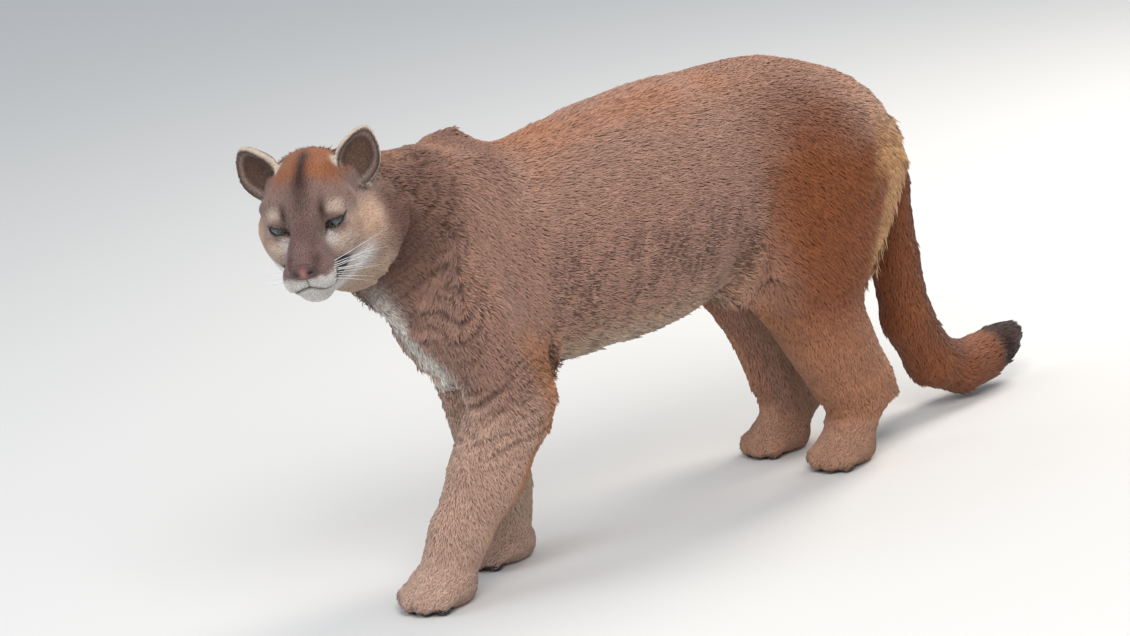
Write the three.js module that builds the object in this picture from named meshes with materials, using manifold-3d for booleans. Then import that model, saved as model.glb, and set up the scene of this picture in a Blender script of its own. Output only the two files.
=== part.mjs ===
// A life-size cougar in mid-stride on level ground, its head lowered and turned to its left.
// Lengths are in millimetres. The animal faces -X, its left side is towards -Y, and +Z is up.
// Its flesh is one soft form, a blend of named masses. Each node is a sphere wrapped onto that
// form from inside and then trimmed by planes, so that neighbours meet face to face.
import * as THREE from "three";
import { mergeVertices } from "three/addons/utils/BufferGeometryUtils.js";
import Module from "manifold-3d";

const seamGap = 0.3; // left between touching nodes
const coatColours = {
  back: 0xa87252,
  face: 0xa98a72,
  ear: 0x8f7462,
  paw: 0xb88a66,
  tail: 0x9a6440,
  nose: 0xa05a50,
  eye: 0x7c8470,
};

// Places on the animal, measured ahead of mid-trunk, to its own left, and above the ground.
const at = (ahead, left, up) => new THREE.Vector3(-ahead, -left, up);
const sides = [
  { name: "left", left: 1 },
  { name: "right", left: -1 },
];

// Joints of the legs, in the pose: the left forepaw reaches ahead, the right one is under the
// shoulder, and both hind legs are bent under the rump.
const pose = {
  left: {
    scapula: at(262, 52, 592),
    shoulder: at(338, 96, 425),
    elbow: at(278, 98, 272),
    wrist: at(385, 56, 98),
    forePaw: at(420, 44, 0),
    foreHeading: 6,
    hip: at(-396, 78, 468),
    knee: at(-232, 104, 312),
    ankle: at(-402, 88, 112),
    hindPaw: at(-342, 82, 0),
    hindHeading: 5,
  },
  right: {
    scapula: at(214, -50, 616),
    shoulder: at(282, -96, 440),
    elbow: at(192, -96, 290),
    wrist: at(212, -56, 98),
    forePaw: at(238, -46, 0),
    foreHeading: -4,
    hip: at(-396, -78, 468),
    knee: at(-306, -104, 288),
    ankle: at(-424, -80, 92),
    hindPaw: at(-345, -74, 0),
    hindHeading: -5,
  },
};

// The trunk's outline from tail root to breast: top, widest level, bottom and half width.
const trunkStations = [
  { ahead: -545, top: 520, widest: 480, bottom: 440, halfWidth: 40 },
  { ahead: -500, top: 566, widest: 490, bottom: 412, halfWidth: 78 },
  { ahead: -420, top: 607, widest: 490, bottom: 385, halfWidth: 104 },
  { ahead: -315, top: 640, widest: 480, bottom: 362, halfWidth: 116 },
  { ahead: -200, top: 648, widest: 460, bottom: 320, halfWidth: 124 },
  { ahead: -100, top: 649, widest: 440, bottom: 288, halfWidth: 133 },
  { ahead: 30, top: 641, widest: 432, bottom: 280, halfWidth: 137 },
  { ahead: 150, top: 626, widest: 436, bottom: 284, halfWidth: 128 },
  { ahead: 250, top: 628, widest: 450, bottom: 300, halfWidth: 112 },
  { ahead: 330, top: 636, widest: 480, bottom: 350, halfWidth: 92 },
];

// The head's own frame: ahead along the muzzle, to its left, and up, from between the ear roots.
const head = { centre: at(520, 17, 602), yaw: 42, nod: -10, tilt: 4 };
const eye = {
  ahead: 64,
  left: 39,
  up: 21,
  radius: 15.5,
  lid: 3,
  outward: 20,
  width: 30,
  height: 15,
  slant: 16,
  drop: -1,
};
const ear = {
  ahead: -22,
  left: 72,
  up: 70,
  height: 90,
  width: 66,
  cup: 24,
  thickness: 4.5,
  open: 2.6,
  tipBack: -0.2,
  tipOut: { left: 0.48, right: 0.66 },
  tipUp: 0.83,
  turnOut: 0.32,
};
const nose = {
  ahead: 146,
  up: -13,
  halfWidth: 24,
  depth: 15,
  padAhead: 10,
  padUp: -2,
  padDepth: 14,
  padWidth: 20.5,
  padHeight: 12,
  nostril: 4,
  nostrilAhead: 13,
  nostrilLeft: 11,
  nostrilUp: -3,
};
const mouth = { corner: 92, front: 146, halfWidth: 38, up: -50, bow: 4, reach: 16, deep: 5, slit: 1.3 };

const tail = {
  path: [
    at(-500, 0, 500),
    at(-546, 0, 462),
    at(-564, 0, 380),
    at(-562, -2, 262),
    at(-577, -6, 160),
    at(-620, -10, 80),
    at(-682, -14, 50),
    at(-730, -18, 51),
    at(-772, -22, 59),
    at(-800, -24, 68),
  ],
  radius: [44, 38, 34, 38, 40, 41, 40, 37, 32, 23],
  shares: [0.42, 0.76],
};

// Forms. Each is a function of a point that gives about how far the point is outside a mass.
const segment = new THREE.Line3();
const nearest = new THREE.Vector3();

function taper(start, end, startRadius, endRadius) {
  return (p) => {
    segment.set(start, end);
    const share = segment.closestPointToPointParameter(p, true);
    segment.at(share, nearest);
    return p.distanceTo(nearest) - THREE.MathUtils.lerp(startRadius, endRadius, share);
  };
}

function ball(centre, radius) {
  return (p) => p.distanceTo(centre) - radius;
}

// An ellipsoid whose half sizes lie along the axes of a frame given by a turn.
function mass(centre, half, turn = new THREE.Quaternion()) {
  const back = turn.clone().invert();
  const local = new THREE.Vector3();
  return (p) => {
    local.copy(p).sub(centre).applyQuaternion(back);
    const unit = Math.hypot(local.x / half.x, local.y / half.y, local.z / half.z);
    const slope = Math.hypot(local.x / half.x ** 2, local.y / half.y ** 2, local.z / half.z ** 2);
    return slope > 0 ? (unit * (unit - 1)) / slope : -Math.min(half.x, half.y, half.z);
  };
}

// A mass that is long between two points, with a breadth across and a thickness sideways.
function muscle(start, end, breadth, thickness) {
  const along = end.clone().sub(start);
  const centre = start.clone().addScaledVector(along, 0.5);
  const sideways = new THREE.Vector3(0, 1, 0);
  const x = along.clone().normalize();
  const z = x.clone().cross(sideways).normalize();
  const y = z.clone().cross(x);
  const turn = new THREE.Quaternion().setFromRotationMatrix(new THREE.Matrix4().makeBasis(x, y, z));
  return mass(centre, new THREE.Vector3(along.length() / 2, thickness, breadth), turn);
}

// Soft union of forms, each with its own softness, and soft hollows taken out of them.
function blend(a, b, softness) {
  const overlap = Math.max(softness - Math.abs(a - b), 0) / softness;
  return Math.min(a, b) - (overlap * overlap * softness) / 4;
}

function body(forms) {
  return (p) => forms.reduce((sum, [form, softness]) => blend(sum, form(p), softness), 1e4);
}

function hollowed(form, hollows) {
  return (p) => hollows.reduce((sum, [hollow, softness]) => -blend(-sum, hollow(p), softness), form(p));
}

// The trunk, as a form whose sections come from the stations.
function trunkForm() {
  const keys = ["top", "widest", "bottom", "halfWidth"];
  const interpolant = new THREE.CubicInterpolant(
    trunkStations.map((s) => s.ahead),
    trunkStations.flatMap((s) => keys.map((k) => s[k])),
    keys.length,
  );
  const first = trunkStations[0].ahead;
  const last = trunkStations.at(-1).ahead;
  return (p) => {
    const ahead = THREE.MathUtils.clamp(-p.x, first, last);
    const [top, widest, bottom, halfWidth] = interpolant.evaluate(ahead);
    const tall = p.z > widest ? top - widest : widest - bottom;
    const section = Math.hypot(p.y / halfWidth, (p.z - widest) / tall);
    const outside = (section - 1) * Math.min(halfWidth, tall);
    const beyond = Math.abs(-p.x - ahead);
    return beyond > 0 ? Math.hypot(Math.max(outside, 0), beyond) : outside;
  };
}

// A frame for the head or a paw: X ahead, Y to its left, Z up.
function frameOf(origin, yawDegrees, nodDegrees = 0, tiltDegrees = 0) {
  const [yaw, nod, tilt] = [yawDegrees, nodDegrees, tiltDegrees].map(THREE.MathUtils.degToRad);
  const ahead = at(Math.cos(nod) * Math.cos(yaw), Math.cos(nod) * Math.sin(yaw), Math.sin(nod));
  const level = at(-Math.sin(yaw), Math.cos(yaw), 0);
  const left = level.clone().applyAxisAngle(ahead, tilt);
  const up = ahead.clone().cross(left);
  return new THREE.Matrix4().makeBasis(ahead, left, up).setPosition(origin);
}

function inFrame(frame, form) {
  const inverse = frame.clone().invert();
  const local = new THREE.Vector3();
  return (p) => form(local.copy(p).applyMatrix4(inverse));
}

const headFrame = frameOf(head.centre, head.yaw, head.nod, head.tilt);
const v = (x, y, z) => new THREE.Vector3(x, y, z);

// The head without ears: skull, cheeks, muzzle, chin and lids, hollowed at the eyes.
function headForm() {
  const forms = [
    [mass(v(-16, 0, 20), v(82, 66, 74)), 1],
    [mass(v(26, 0, 34), v(52, 56, 50)), 20],
    [taper(v(56, 0, 24), v(134, 0, -6), 32, 21), 22],
    [taper(v(50, 0, -28), v(118, 0, -30), 50, 31), 24],
    [mass(v(110, 0, -54), v(33, 26, 21)), 12],
    [taper(v(100, 0, -58), v(20, 0, -56), 24, 44), 16],
    [mass(v(nose.ahead, 0, nose.up), v(15, nose.halfWidth, nose.depth)), 6],
  ];
  for (const { left } of sides) {
    forms.push(
      [mass(v(2, 40 * left, -24), v(60, 37, 56)), 22],
      [taper(v(66, 42 * left, -10), v(8, 61 * left, -6), 21, 25), 20],
      [mass(v(123, 19 * left, -34), v(31, 21, 21)), 9],
      [taper(v(62, 20 * left, 42), v(38, 52 * left, 38), 15, 18), 14],
      [taper(v(-40, 48 * left, 38), v(-50, 62 * left, 54), 31, 17), 20],
    );
  }
  const hollows = sides.flatMap(({ left }) => [
    [mass(v(88, 33 * left, 14), v(16, 13, 15)), 16],
    [mass(v(82, 50 * left, 12), v(10, 12, 9)), 14],
  ]);
  const lids = sides.map(({ left }) => [
    ball(v(eye.ahead, eye.left * left, eye.up), eye.radius + eye.lid),
    7,
  ]);
  const carved = hollowed(body(forms), hollows);
  return (p) => lids.reduce((sum, [lid, softness]) => blend(sum, lid(p), softness), carved(p));
}

// A paw, in its own frame on the ground under the ball of the foot.
function pawForms(frame, scale, width) {
  const toes = [
    { left: -31, base: 12, tip: 36 },
    { left: -11.5, base: 20, tip: 49 },
    { left: 11.5, base: 20, tip: 49 },
    { left: 31, base: 12, tip: 36 },
  ];
  const s = scale;
  const w = scale * width;
  const forms = [
    [mass(v(-2 * s, 0, 27 * s), v(46 * s, 45 * w, 31 * s)), 14],
    [ball(v(-26 * s, 0, 20 * s), 25 * s), 14],
  ];
  for (const toe of toes) {
    const spread = 1.12;
    forms.push([
      taper(
        v(toe.base * s, toe.left * w, 30 * s),
        v(toe.tip * s, toe.left * w * spread, 18 * s),
        17 * s,
        15.5 * s,
      ),
      7,
    ]);
  }
  return forms.map(([form, softness]) => [inFrame(frame, form), softness]);
}

const onPaw = (frame, x, y, z) => v(x, y, z).applyMatrix4(frame);

function legForms(leg, left) {
  const fore = frameOf(leg.forePaw, leg.foreHeading);
  const hind = frameOf(leg.hindPaw, leg.hindHeading);
  const out = (point, ahead, aside, up) => point.clone().add(at(ahead, aside * left, up));
  return [
    // Foreleg: shoulder blade, upper arm and its long head, forearm, wrist and paw.
    [muscle(out(leg.scapula, -6, 8, 40), out(leg.shoulder, 10, 0, -30), 74, 34), 34],
    [taper(leg.shoulder, leg.elbow, 62, 54), 34],
    [taper(out(leg.scapula, -46, 30, -90), out(leg.elbow, -16, 0, 12), 46, 30), 34],
    [taper(out(leg.elbow, 14, 0, 0), leg.wrist.clone().lerp(leg.elbow, 0.45), 62, 54), 26],
    [taper(leg.wrist.clone().lerp(leg.elbow, 0.5), leg.wrist, 53, 42), 18],
    [taper(leg.wrist, onPaw(fore, -4, 0, 34), 42, 40), 18],
    [ball(out(leg.wrist, -30, 0, 2), 13), 16],
    ...pawForms(fore, 1.06, 1),
    // Hind leg: haunch, thigh, shank, heel and paw.
    [muscle(out(leg.hip, -34, 4, 66), out(leg.knee, -30, 0, -20), 118, 56), 46],
    [taper(out(leg.hip, -58, -8, -20), out(leg.knee, -100, -6, -20), 72, 52), 44],
    [taper(leg.hip, leg.knee, 78, 50), 40],
    [taper(leg.knee, leg.ankle.clone().lerp(leg.knee, 0.45), 56, 56), 34],
    [taper(out(leg.knee, -64, -4, -34), leg.ankle, 62, 40), 30],
    [taper(out(leg.knee, -70, -4, -90), out(leg.ankle, 58, 0, 26), 54, 50), 26],
    [taper(out(leg.ankle, 22, 0, 6), onPaw(hind, -8, 0, 38), 46, 38), 22],
    [ball(out(leg.ankle, -24, 0, -14), 25), 22],
    ...pawForms(hind, 0.98, 0.93),
  ];
}

function neckForms() {
  const nape = v(-48, 0, 4).applyMatrix4(headFrame);
  const throat = v(-6, 0, -34).applyMatrix4(headFrame);
  return [
    [taper(at(268, 0, 538), nape, 92, 74), 50],
    [taper(at(302, 0, 448), throat, 92, 56), 60],
    [mass(at(318, 0, 396), v(60, 74, 92)), 40],
  ];
}

function tailForms() {
  return tail.path
    .slice(1)
    .map((end, i) => [taper(tail.path[i], end, tail.radius[i], tail.radius[i + 1]), 12]);
}

const wholeForms = [
  [trunkForm(), 1],
  ...sides.flatMap(({ name, left }) => legForms(pose[name], left)),
  ...neckForms(),
  ...tailForms(),
  [inFrame(headFrame, headForm()), 26],
];
const cougarForm = body(wholeForms);

// The first place along a ray from inside where the form ends, or the reach where it doesn't.
function surfaceAlong(form, origin, direction, reach, grow) {
  const step = 5;
  const point = v(0, 0, 0);
  const outside = (distance) => form(point.copy(direction).multiplyScalar(distance).add(origin)) - grow;
  let inner = 0;
  while (inner < reach && outside(inner + step) < 0) inner += step;
  let outer = Math.min(inner + step, reach);
  for (let i = 0; i < 14 && inner < outer; i++) {
    const middle = (inner + outer) / 2;
    if (outside(middle) < 0) inner = middle;
    else outer = middle;
  }
  return point.copy(direction).multiplyScalar(Math.max(inner, 0.5)).add(origin).clone();
}

// A sphere drawn out along an axis and wrapped onto the form. Its rings stand across the axis, and
// over the capped ends they turn towards it.
function wrap({ form, points, rings, around, facing, reach = 220, startCap = 0, endCap = 0, grow = 0 }) {
  const axis = new THREE.CatmullRomCurve3(points, false, "centripetal");
  const sphere = new THREE.SphereGeometry(1, around, rings);
  const { position, uv } = sphere.attributes;
  for (let i = 0; i < position.count; i++) {
    const along = 1 - uv.getY(i);
    const angle = 2 * Math.PI * uv.getX(i);
    const inStart = along < startCap;
    const inEnd = along > 1 - endCap;
    const middle = (along - startCap) / (1 - startCap - endCap);
    const share = THREE.MathUtils.clamp(inStart ? 0 : inEnd ? 1 : middle, 0, 1);
    const origin = axis.getPointAt(share);
    const forward = axis.getTangentAt(share);
    const across = facing.clone().addScaledVector(forward, -facing.dot(forward)).normalize();
    const beside = across.clone().cross(forward);
    let turn = 0;
    if (inStart) turn = -(1 - along / startCap) * (Math.PI / 2);
    if (inEnd) turn = (1 - (1 - along) / endCap) * (Math.PI / 2);
    const direction = across
      .multiplyScalar(Math.cos(angle))
      .addScaledVector(beside, Math.sin(angle))
      .multiplyScalar(Math.cos(turn))
      .addScaledVector(forward, Math.sin(turn));
    const flatEnd = (along === 0 && !startCap) || (along === 1 && !endCap);
    const place = flatEnd ? origin : surfaceAlong(form, origin, direction, reach, grow);
    position.setXYZ(i, place.x, place.y, place.z);
  }
  return sphere;
}

// Solids, which manifold-3d cuts.
const wasm = await Module();
wasm.setup();

function solid(geometry) {
  const bare = geometry.clone();
  bare.deleteAttribute("normal");
  bare.deleteAttribute("uv");
  const merged = mergeVertices(bare, 1e-3);
  const triVerts = [];
  const index = merged.index.array;
  for (let i = 0; i < index.length; i += 3) {
    const [a, b, c] = index.slice(i, i + 3);
    if (a !== b && b !== c && c !== a) triVerts.push(a, b, c);
  }
  return new wasm.Manifold(
    new wasm.Mesh({
      numProp: 3,
      vertProperties: new Float32Array(merged.attributes.position.array),
      triVerts: new Uint32Array(triVerts),
    }),
  );
}

// All the space on the side of a plane that its normal points to.
function halfSpace(point, normal, offset = 0) {
  const size = 4000;
  const box = new THREE.BoxGeometry(size, size, size).translate(0, 0, size / 2 + offset);
  const turn = new THREE.Quaternion().setFromUnitVectors(v(0, 0, 1), normal.clone().normalize());
  return solid(box.applyQuaternion(turn).translate(point.x, point.y, point.z));
}

// A cut is a point and a normal. One node keeps the side before it, its neighbour the side after it.
const cut = (point, normal) => ({ point, normal: normal.clone().normalize() });
const before = ({ point, normal }) => halfSpace(point, normal.clone().negate(), seamGap / 2);
const after = ({ point, normal }) => halfSpace(point, normal, seamGap / 2);
const within = (shape, ...spaces) => spaces.reduce((rest, space) => rest.intersect(space), shape);

// Only the largest closed surface is kept, which drops any loose scrap.
function largest(shape) {
  return shape.decompose().reduce((a, b) => (b.volume() > a.volume() ? b : a));
}

const cougar = new THREE.Group();

function addNode(name, shape, colour, roughness = 0.85) {
  const { vertProperties, triVerts } = largest(shape).getMesh();
  const geometry = new THREE.BufferGeometry()
    .setAttribute("position", new THREE.BufferAttribute(vertProperties, 3))
    .setIndex(new THREE.BufferAttribute(triVerts, 1));
  geometry.computeVertexNormals();
  const mesh = new THREE.Mesh(geometry, new THREE.MeshStandardMaterial({ color: colour, roughness }));
  mesh.name = name;
  cougar.add(mesh);
}

const ground = halfSpace(v(0, 0, 0), v(0, 0, 1));

const cuts = {
  loin: cut(at(60, 0, 450), at(-1, 0, 0)),
  rump: cut(at(-195, 0, 450), at(-1, 0, 0.1)),
  neckBase: cut(at(352, 0, 530), at(1, -0.03, 0.28)),
  skull: cut(v(-46, 0, 0).applyMatrix4(headFrame), v(1, 0, -0.12).transformDirection(headFrame)),
  tailRoot: cut(at(-545, 0, 470), at(-0.62, 0, -0.78)),
  brisket: cut(at(252, 0, 290), at(0.12, 0, -1)),
  groin: cut(at(-300, 0, 296), at(0.12, 0, -1)),
};

// The room that each shoulder and thigh takes out of the trunk. An inset draws it in on its own sides.
function shoulderRoom(leg, left, inset) {
  const rear = leg.elbow.clone().add(at(-66, 0, 0));
  return within(
    halfSpace(at(0, 46 * left, 612), at(0, left, -0.05), inset),
    halfSpace(cuts.neckBase.point, cuts.neckBase.normal.clone().negate(), inset),
    halfSpace(rear, at(1, 0, -0.02), inset),
  );
}

function thighRoom(left, inset) {
  return within(
    halfSpace(at(0, 14 * left, 362), at(0, left, -0.42), inset),
    halfSpace(at(0, 12 * left, 362), at(0, left, 0), inset),
    halfSpace(at(-168, 0, 300), at(-1, 0, -0.36), inset),
  );
}

// Trunk.
const trunk = solid(
  wrap({
    form: cougarForm,
    points: [at(-470, 0, 488), at(-300, 0, 500), at(-40, 0, 462), at(200, 0, 468), at(395, 0, 548)],
    rings: 34,
    around: 30,
    facing: at(0, 0, 1),
    reach: 260,
    startCap: 0.16,
  }),
);
const rooms = sides.flatMap(({ name, left }) => [
  shoulderRoom(pose[name], left, -seamGap / 2),
  thighRoom(left, -seamGap / 2),
]);
const core = rooms.reduce((rest, room) => rest.subtract(room), trunk);
const chest = within(core, before(cuts.neckBase), before(cuts.loin), before(cuts.brisket));
const pelvis = within(core, after(cuts.rump), before(cuts.tailRoot), before(cuts.groin));
addNode("thorax", chest, coatColours.back);
addNode("abdomen", within(core, after(cuts.loin), before(cuts.rump)), coatColours.back);
addNode("rump", pelvis, coatColours.back);

// Neck.
function wrapNeck(grow) {
  return solid(
    wrap({
      form: cougarForm,
      points: [at(300, 0, 500), at(380, -4, 545), at(440, -2, 570), v(-14, 0, 6).applyMatrix4(headFrame)],
      rings: 13,
      around: 28,
      facing: at(0, 0, 1),
      reach: 260,
      grow,
    }),
  );
}
addNode("neck", within(wrapNeck(0), after(cuts.neckBase), before(cuts.skull)), coatColours.back);

// Legs. Each is wrapped along the middle of its outline, and its paw along the foot.
const legSpan = { rings: 24, around: 16, facing: at(1, 0, 0), reach: 230, startCap: 0.2 };
const pawSpan = { rings: 16, around: 20, facing: at(0, 0, 1), reach: 95, startCap: 0.3, endCap: 0.32 };

function addPaw(name, frame, top) {
  const points = [onPaw(frame, -24, 0, 22), onPaw(frame, 0, 0, 21), onPaw(frame, 26, 0, 18)];
  const paw = solid(wrap({ form: cougarForm, points, ...pawSpan }));
  addNode(name, within(paw, after(top), ground), coatColours.paw);
}

for (const { name, left } of sides) {
  const leg = pose[name];
  const fore = frameOf(leg.forePaw, leg.foreHeading);
  const hind = frameOf(leg.hindPaw, leg.hindHeading);

  const elbowCut = cut(leg.elbow.clone().add(at(0, 0, -10)), at(0.12, 0, -1));
  const wristCut = cut(onPaw(fore, -14, 0, 62), at(0.35, 0, -1));
  const foreleg = solid(
    wrap({
      form: cougarForm,
      points: [
        leg.scapula.clone().lerp(leg.shoulder, 0.3).add(at(0, 16 * left, 0)),
        leg.shoulder.clone().lerp(leg.elbow, 0.35).add(at(-6, 0, 0)),
        leg.elbow.clone().add(at(34, 0, -10)),
        leg.elbow.clone().lerp(leg.wrist, 0.6).add(at(12, 0, 0)),
        leg.wrist,
        onPaw(fore, -6, 0, 22),
      ],
      ...legSpan,
    }),
  );
  const shoulder = within(foreleg, before(elbowCut), shoulderRoom(leg, left, seamGap / 2));
  addNode(`shoulder_${name}`, shoulder, coatColours.back);
  addNode(`forearm_${name}`, within(foreleg, after(elbowCut), before(wristCut)), coatColours.paw);
  addPaw(`forepaw_${name}`, fore, wristCut);

  const kneeCut = cut(leg.knee.clone().add(at(-60, 0, -30)), at(0.12, 0, -1));
  const ankleCut = cut(onPaw(hind, -24, 0, 66), at(0.2, 0, -1));
  const hindleg = solid(
    wrap({
      form: cougarForm,
      points: [
        leg.hip.clone().add(at(24, 8 * left, 22)),
        leg.hip.clone().lerp(leg.knee, 0.5).add(at(-30, 0, 10)),
        leg.knee.clone().add(at(-96, 0, -20)),
        leg.knee.clone().lerp(leg.ankle, 0.6).add(at(-4, 0, 0)),
        leg.ankle.clone().add(at(32, 0, -6)),
        onPaw(hind, -14, 0, 22),
      ],
      ...legSpan,
    }),
  );
  const thigh = within(hindleg, before(kneeCut), thighRoom(left, seamGap / 2));
  addNode(`thigh_${name}`, thigh, coatColours.back);
  addNode(`shank_${name}`, within(hindleg, after(kneeCut), before(ankleCut)), coatColours.paw);
  addPaw(`hindpaw_${name}`, hind, ankleCut);
}

// Tail, in three lengths.
const tailCurve = new THREE.CatmullRomCurve3(tail.path, false, "centripetal");
const tailSolid = solid(
  wrap({
    form: cougarForm,
    points: tail.path,
    rings: 40,
    around: 12,
    facing: at(0, 1, 0),
    reach: 46,
    endCap: 0.08,
  }),
);
const tailCuts = tail.shares.map((share) => {
  return cut(tailCurve.getPointAt(share), tailCurve.getTangentAt(share));
});
const tailRoot = within(tailSolid, after(cuts.tailRoot));
addNode("tail_root", within(tailRoot, before(tailCuts[0])), coatColours.tail);
addNode("tail_middle", within(tailRoot, after(tailCuts[0]), before(tailCuts[1])), coatColours.tail);
addNode("tail_tip", within(tailRoot, after(tailCuts[1])), coatColours.tail);

// Head, with sockets round the eyes, an opening between the lids, nostrils and the line of the mouth.
function wrapHead(grow) {
  return solid(
    wrap({
      form: cougarForm,
      points: [v(-22, 0, 12), v(40, 0, 2), v(100, 0, -30)].map((p) => p.applyMatrix4(headFrame)),
      rings: 40,
      around: 40,
      facing: v(0, 0, 1).transformDirection(headFrame),
      reach: 130,
      startCap: 0.3,
      endCap: 0.34,
      grow,
    }),
  );
}

const inHead = (geometry) => solid(geometry.applyMatrix4(headFrame));

// A ball-like shape with its own half sizes, set in the head.
function lump(centre, half, across = 16, down = 12) {
  const ballShape = new THREE.SphereGeometry(1, across, down).scale(half.x, half.y, half.z);
  return inHead(ballShape.translate(centre.x, centre.y, centre.z));
}

// The almond between the lids, as a prism that runs out along the gaze.
function lidOpening(left) {
  const half = eye.width / 2;
  const bow = (half ** 2 + (eye.height / 2) ** 2) / eye.height;
  const swing = Math.asin(half / bow);
  const almond = new THREE.Shape()
    .absarc(0, eye.height / 2 - bow, bow, Math.PI / 2 - swing, Math.PI / 2 + swing, false)
    .absarc(0, bow - eye.height / 2, bow, -Math.PI / 2 - swing, -Math.PI / 2 + swing, false);
  const depth = eye.radius * 3;
  const prism = new THREE.ExtrudeGeometry(almond, { depth, bevelEnabled: false, curveSegments: 6 });
  return inHead(
    prism
      .rotateZ(THREE.MathUtils.degToRad(eye.slant * left))
      .applyMatrix4(new THREE.Matrix4().makeBasis(v(0, 1, 0), v(0, 0, 1), v(1, 0, 0)))
      .rotateZ(THREE.MathUtils.degToRad(eye.outward * left))
      .translate(eye.ahead, eye.left * left, eye.up + eye.drop),
  );
}

// The slit between the lips, a thin bent box that follows them from corner to corner.
function mouthSlit() {
  const line = new THREE.CatmullRomCurve3(
    [-1, -0.8, -0.4, 0, 0.4, 0.8, 1].map((share) => {
      const round = Math.cos((share * Math.PI) / 2);
      const ahead = mouth.corner + (mouth.front - mouth.corner) * round;
      const rise = mouth.up + mouth.bow * Math.cos(share * Math.PI * 1.5);
      return v(ahead, mouth.halfWidth * Math.sin((share * Math.PI) / 2), rise);
    }),
  );
  const band = new THREE.BoxGeometry(1, 1, 1, 14, 1, 1);
  const { position } = band.attributes;
  const middle = v(mouth.corner - 14, 0, mouth.up);
  for (let i = 0; i < position.count; i++) {
    const place = line.getPoint(0.5 - position.getX(i));
    const outward = place.clone().sub(middle).setZ(0).normalize();
    place.addScaledVector(outward, position.getY(i) > 0 ? mouth.reach : -mouth.deep);
    place.z += position.getZ(i) * mouth.slit;
    position.setXYZ(i, place.x, place.y, place.z);
  }
  return inHead(band);
}

// An ear is a leaf-shaped cup, open towards the front, on the mound at its root.
function earShape(shrink) {
  const leaf = new THREE.SphereGeometry(1, 18, 12).rotateX(Math.PI / 2);
  const { position } = leaf.attributes;
  for (let i = 0; i < position.count; i++) {
    const [x, y, z] = [position.getX(i), position.getY(i), position.getZ(i)];
    const narrowing = 1 - 0.3 * Math.max(z, 0) ** 1.5;
    const across = y * (ear.width / 2 - shrink) * narrowing;
    const lean = -0.14 * ear.height * z * Math.abs(z);
    const along = x * (ear.cup - shrink) * narrowing + lean;
    position.setXYZ(i, along + shrink * ear.open, across, z * (ear.height / 2 - shrink));
  }
  return leaf;
}

const headSolid = wrapHead(0);
const headAndNeckGrown = wrapHead(seamGap).add(wrapNeck(seamGap));
const nosePad = (grow) => {
  const half = v(nose.padDepth + grow, nose.padWidth + grow, nose.padHeight + grow);
  return lump(v(nose.ahead + nose.padAhead, 0, nose.up + nose.padUp), half, 14, 10);
};
const nostrils = sides.map(({ left }) => {
  const hole = new THREE.SphereGeometry(nose.nostril, 8, 6).scale(1.5, 1, 0.75).rotateZ(left * 0.7);
  const { ahead, nostrilAhead, nostrilLeft, up, nostrilUp } = nose;
  return inHead(hole.translate(ahead + nostrilAhead, nostrilLeft * left, up + nostrilUp));
});
const sockets = sides.map(({ left }) => {
  const centre = v(eye.ahead, eye.left * left, eye.up);
  const room = v(1, 1, 1).multiplyScalar(eye.radius + seamGap);
  return lump(centre, room).add(lidOpening(left));
});
const hollowsOfHead = [...sockets, mouthSlit(), nosePad(seamGap)];
const openHead = hollowsOfHead.reduce((rest, hollow) => rest.subtract(hollow), headSolid);
addNode("head", within(openHead, after(cuts.skull)), coatColours.face);
const noseSolid = nostrils.reduce((rest, hole) => rest.subtract(hole), headSolid.intersect(nosePad(0)));
addNode("nose", noseSolid, coatColours.nose, 0.5);

for (const { name, left } of sides) {
  const centre = v(eye.ahead, eye.left * left, eye.up);
  addNode(`eye_${name}`, lump(centre, v(eye.radius, eye.radius, eye.radius)), coatColours.eye, 0.08);

  const upright = v(ear.tipBack, ear.tipOut[name] * left, ear.tipUp).normalize();
  const facing = v(1, ear.turnOut * left, 0.08);
  facing.addScaledVector(upright, -facing.dot(upright)).normalize();
  const aside = upright.clone().cross(facing);
  const root = v(ear.ahead, ear.left * left, ear.up);
  const frame = new THREE.Matrix4().makeBasis(facing, aside, upright).setPosition(root);
  const shape = (shrink) => inHead(earShape(shrink).applyMatrix4(frame));
  const cup = shape(0).subtract(shape(ear.thickness));
  addNode(`ear_${name}`, cup.subtract(headAndNeckGrown), coatColours.ear);
}

// The model stands on Z = 0 with the middle of its own box over the origin.
const extent = new THREE.Box3().setFromObject(cougar);
const middle = extent.getCenter(new THREE.Vector3());
cougar.position.set(-middle.x, -middle.y, -extent.min.z);

export default cougar;
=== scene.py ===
# Cougar in its winter coat, standing in mid-stride with its head low and turned to its left.
import math
import bpy
import bmesh
import numpy as np
from mathutils import Matrix, Vector
from mathutils.kdtree import KDTree


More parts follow.
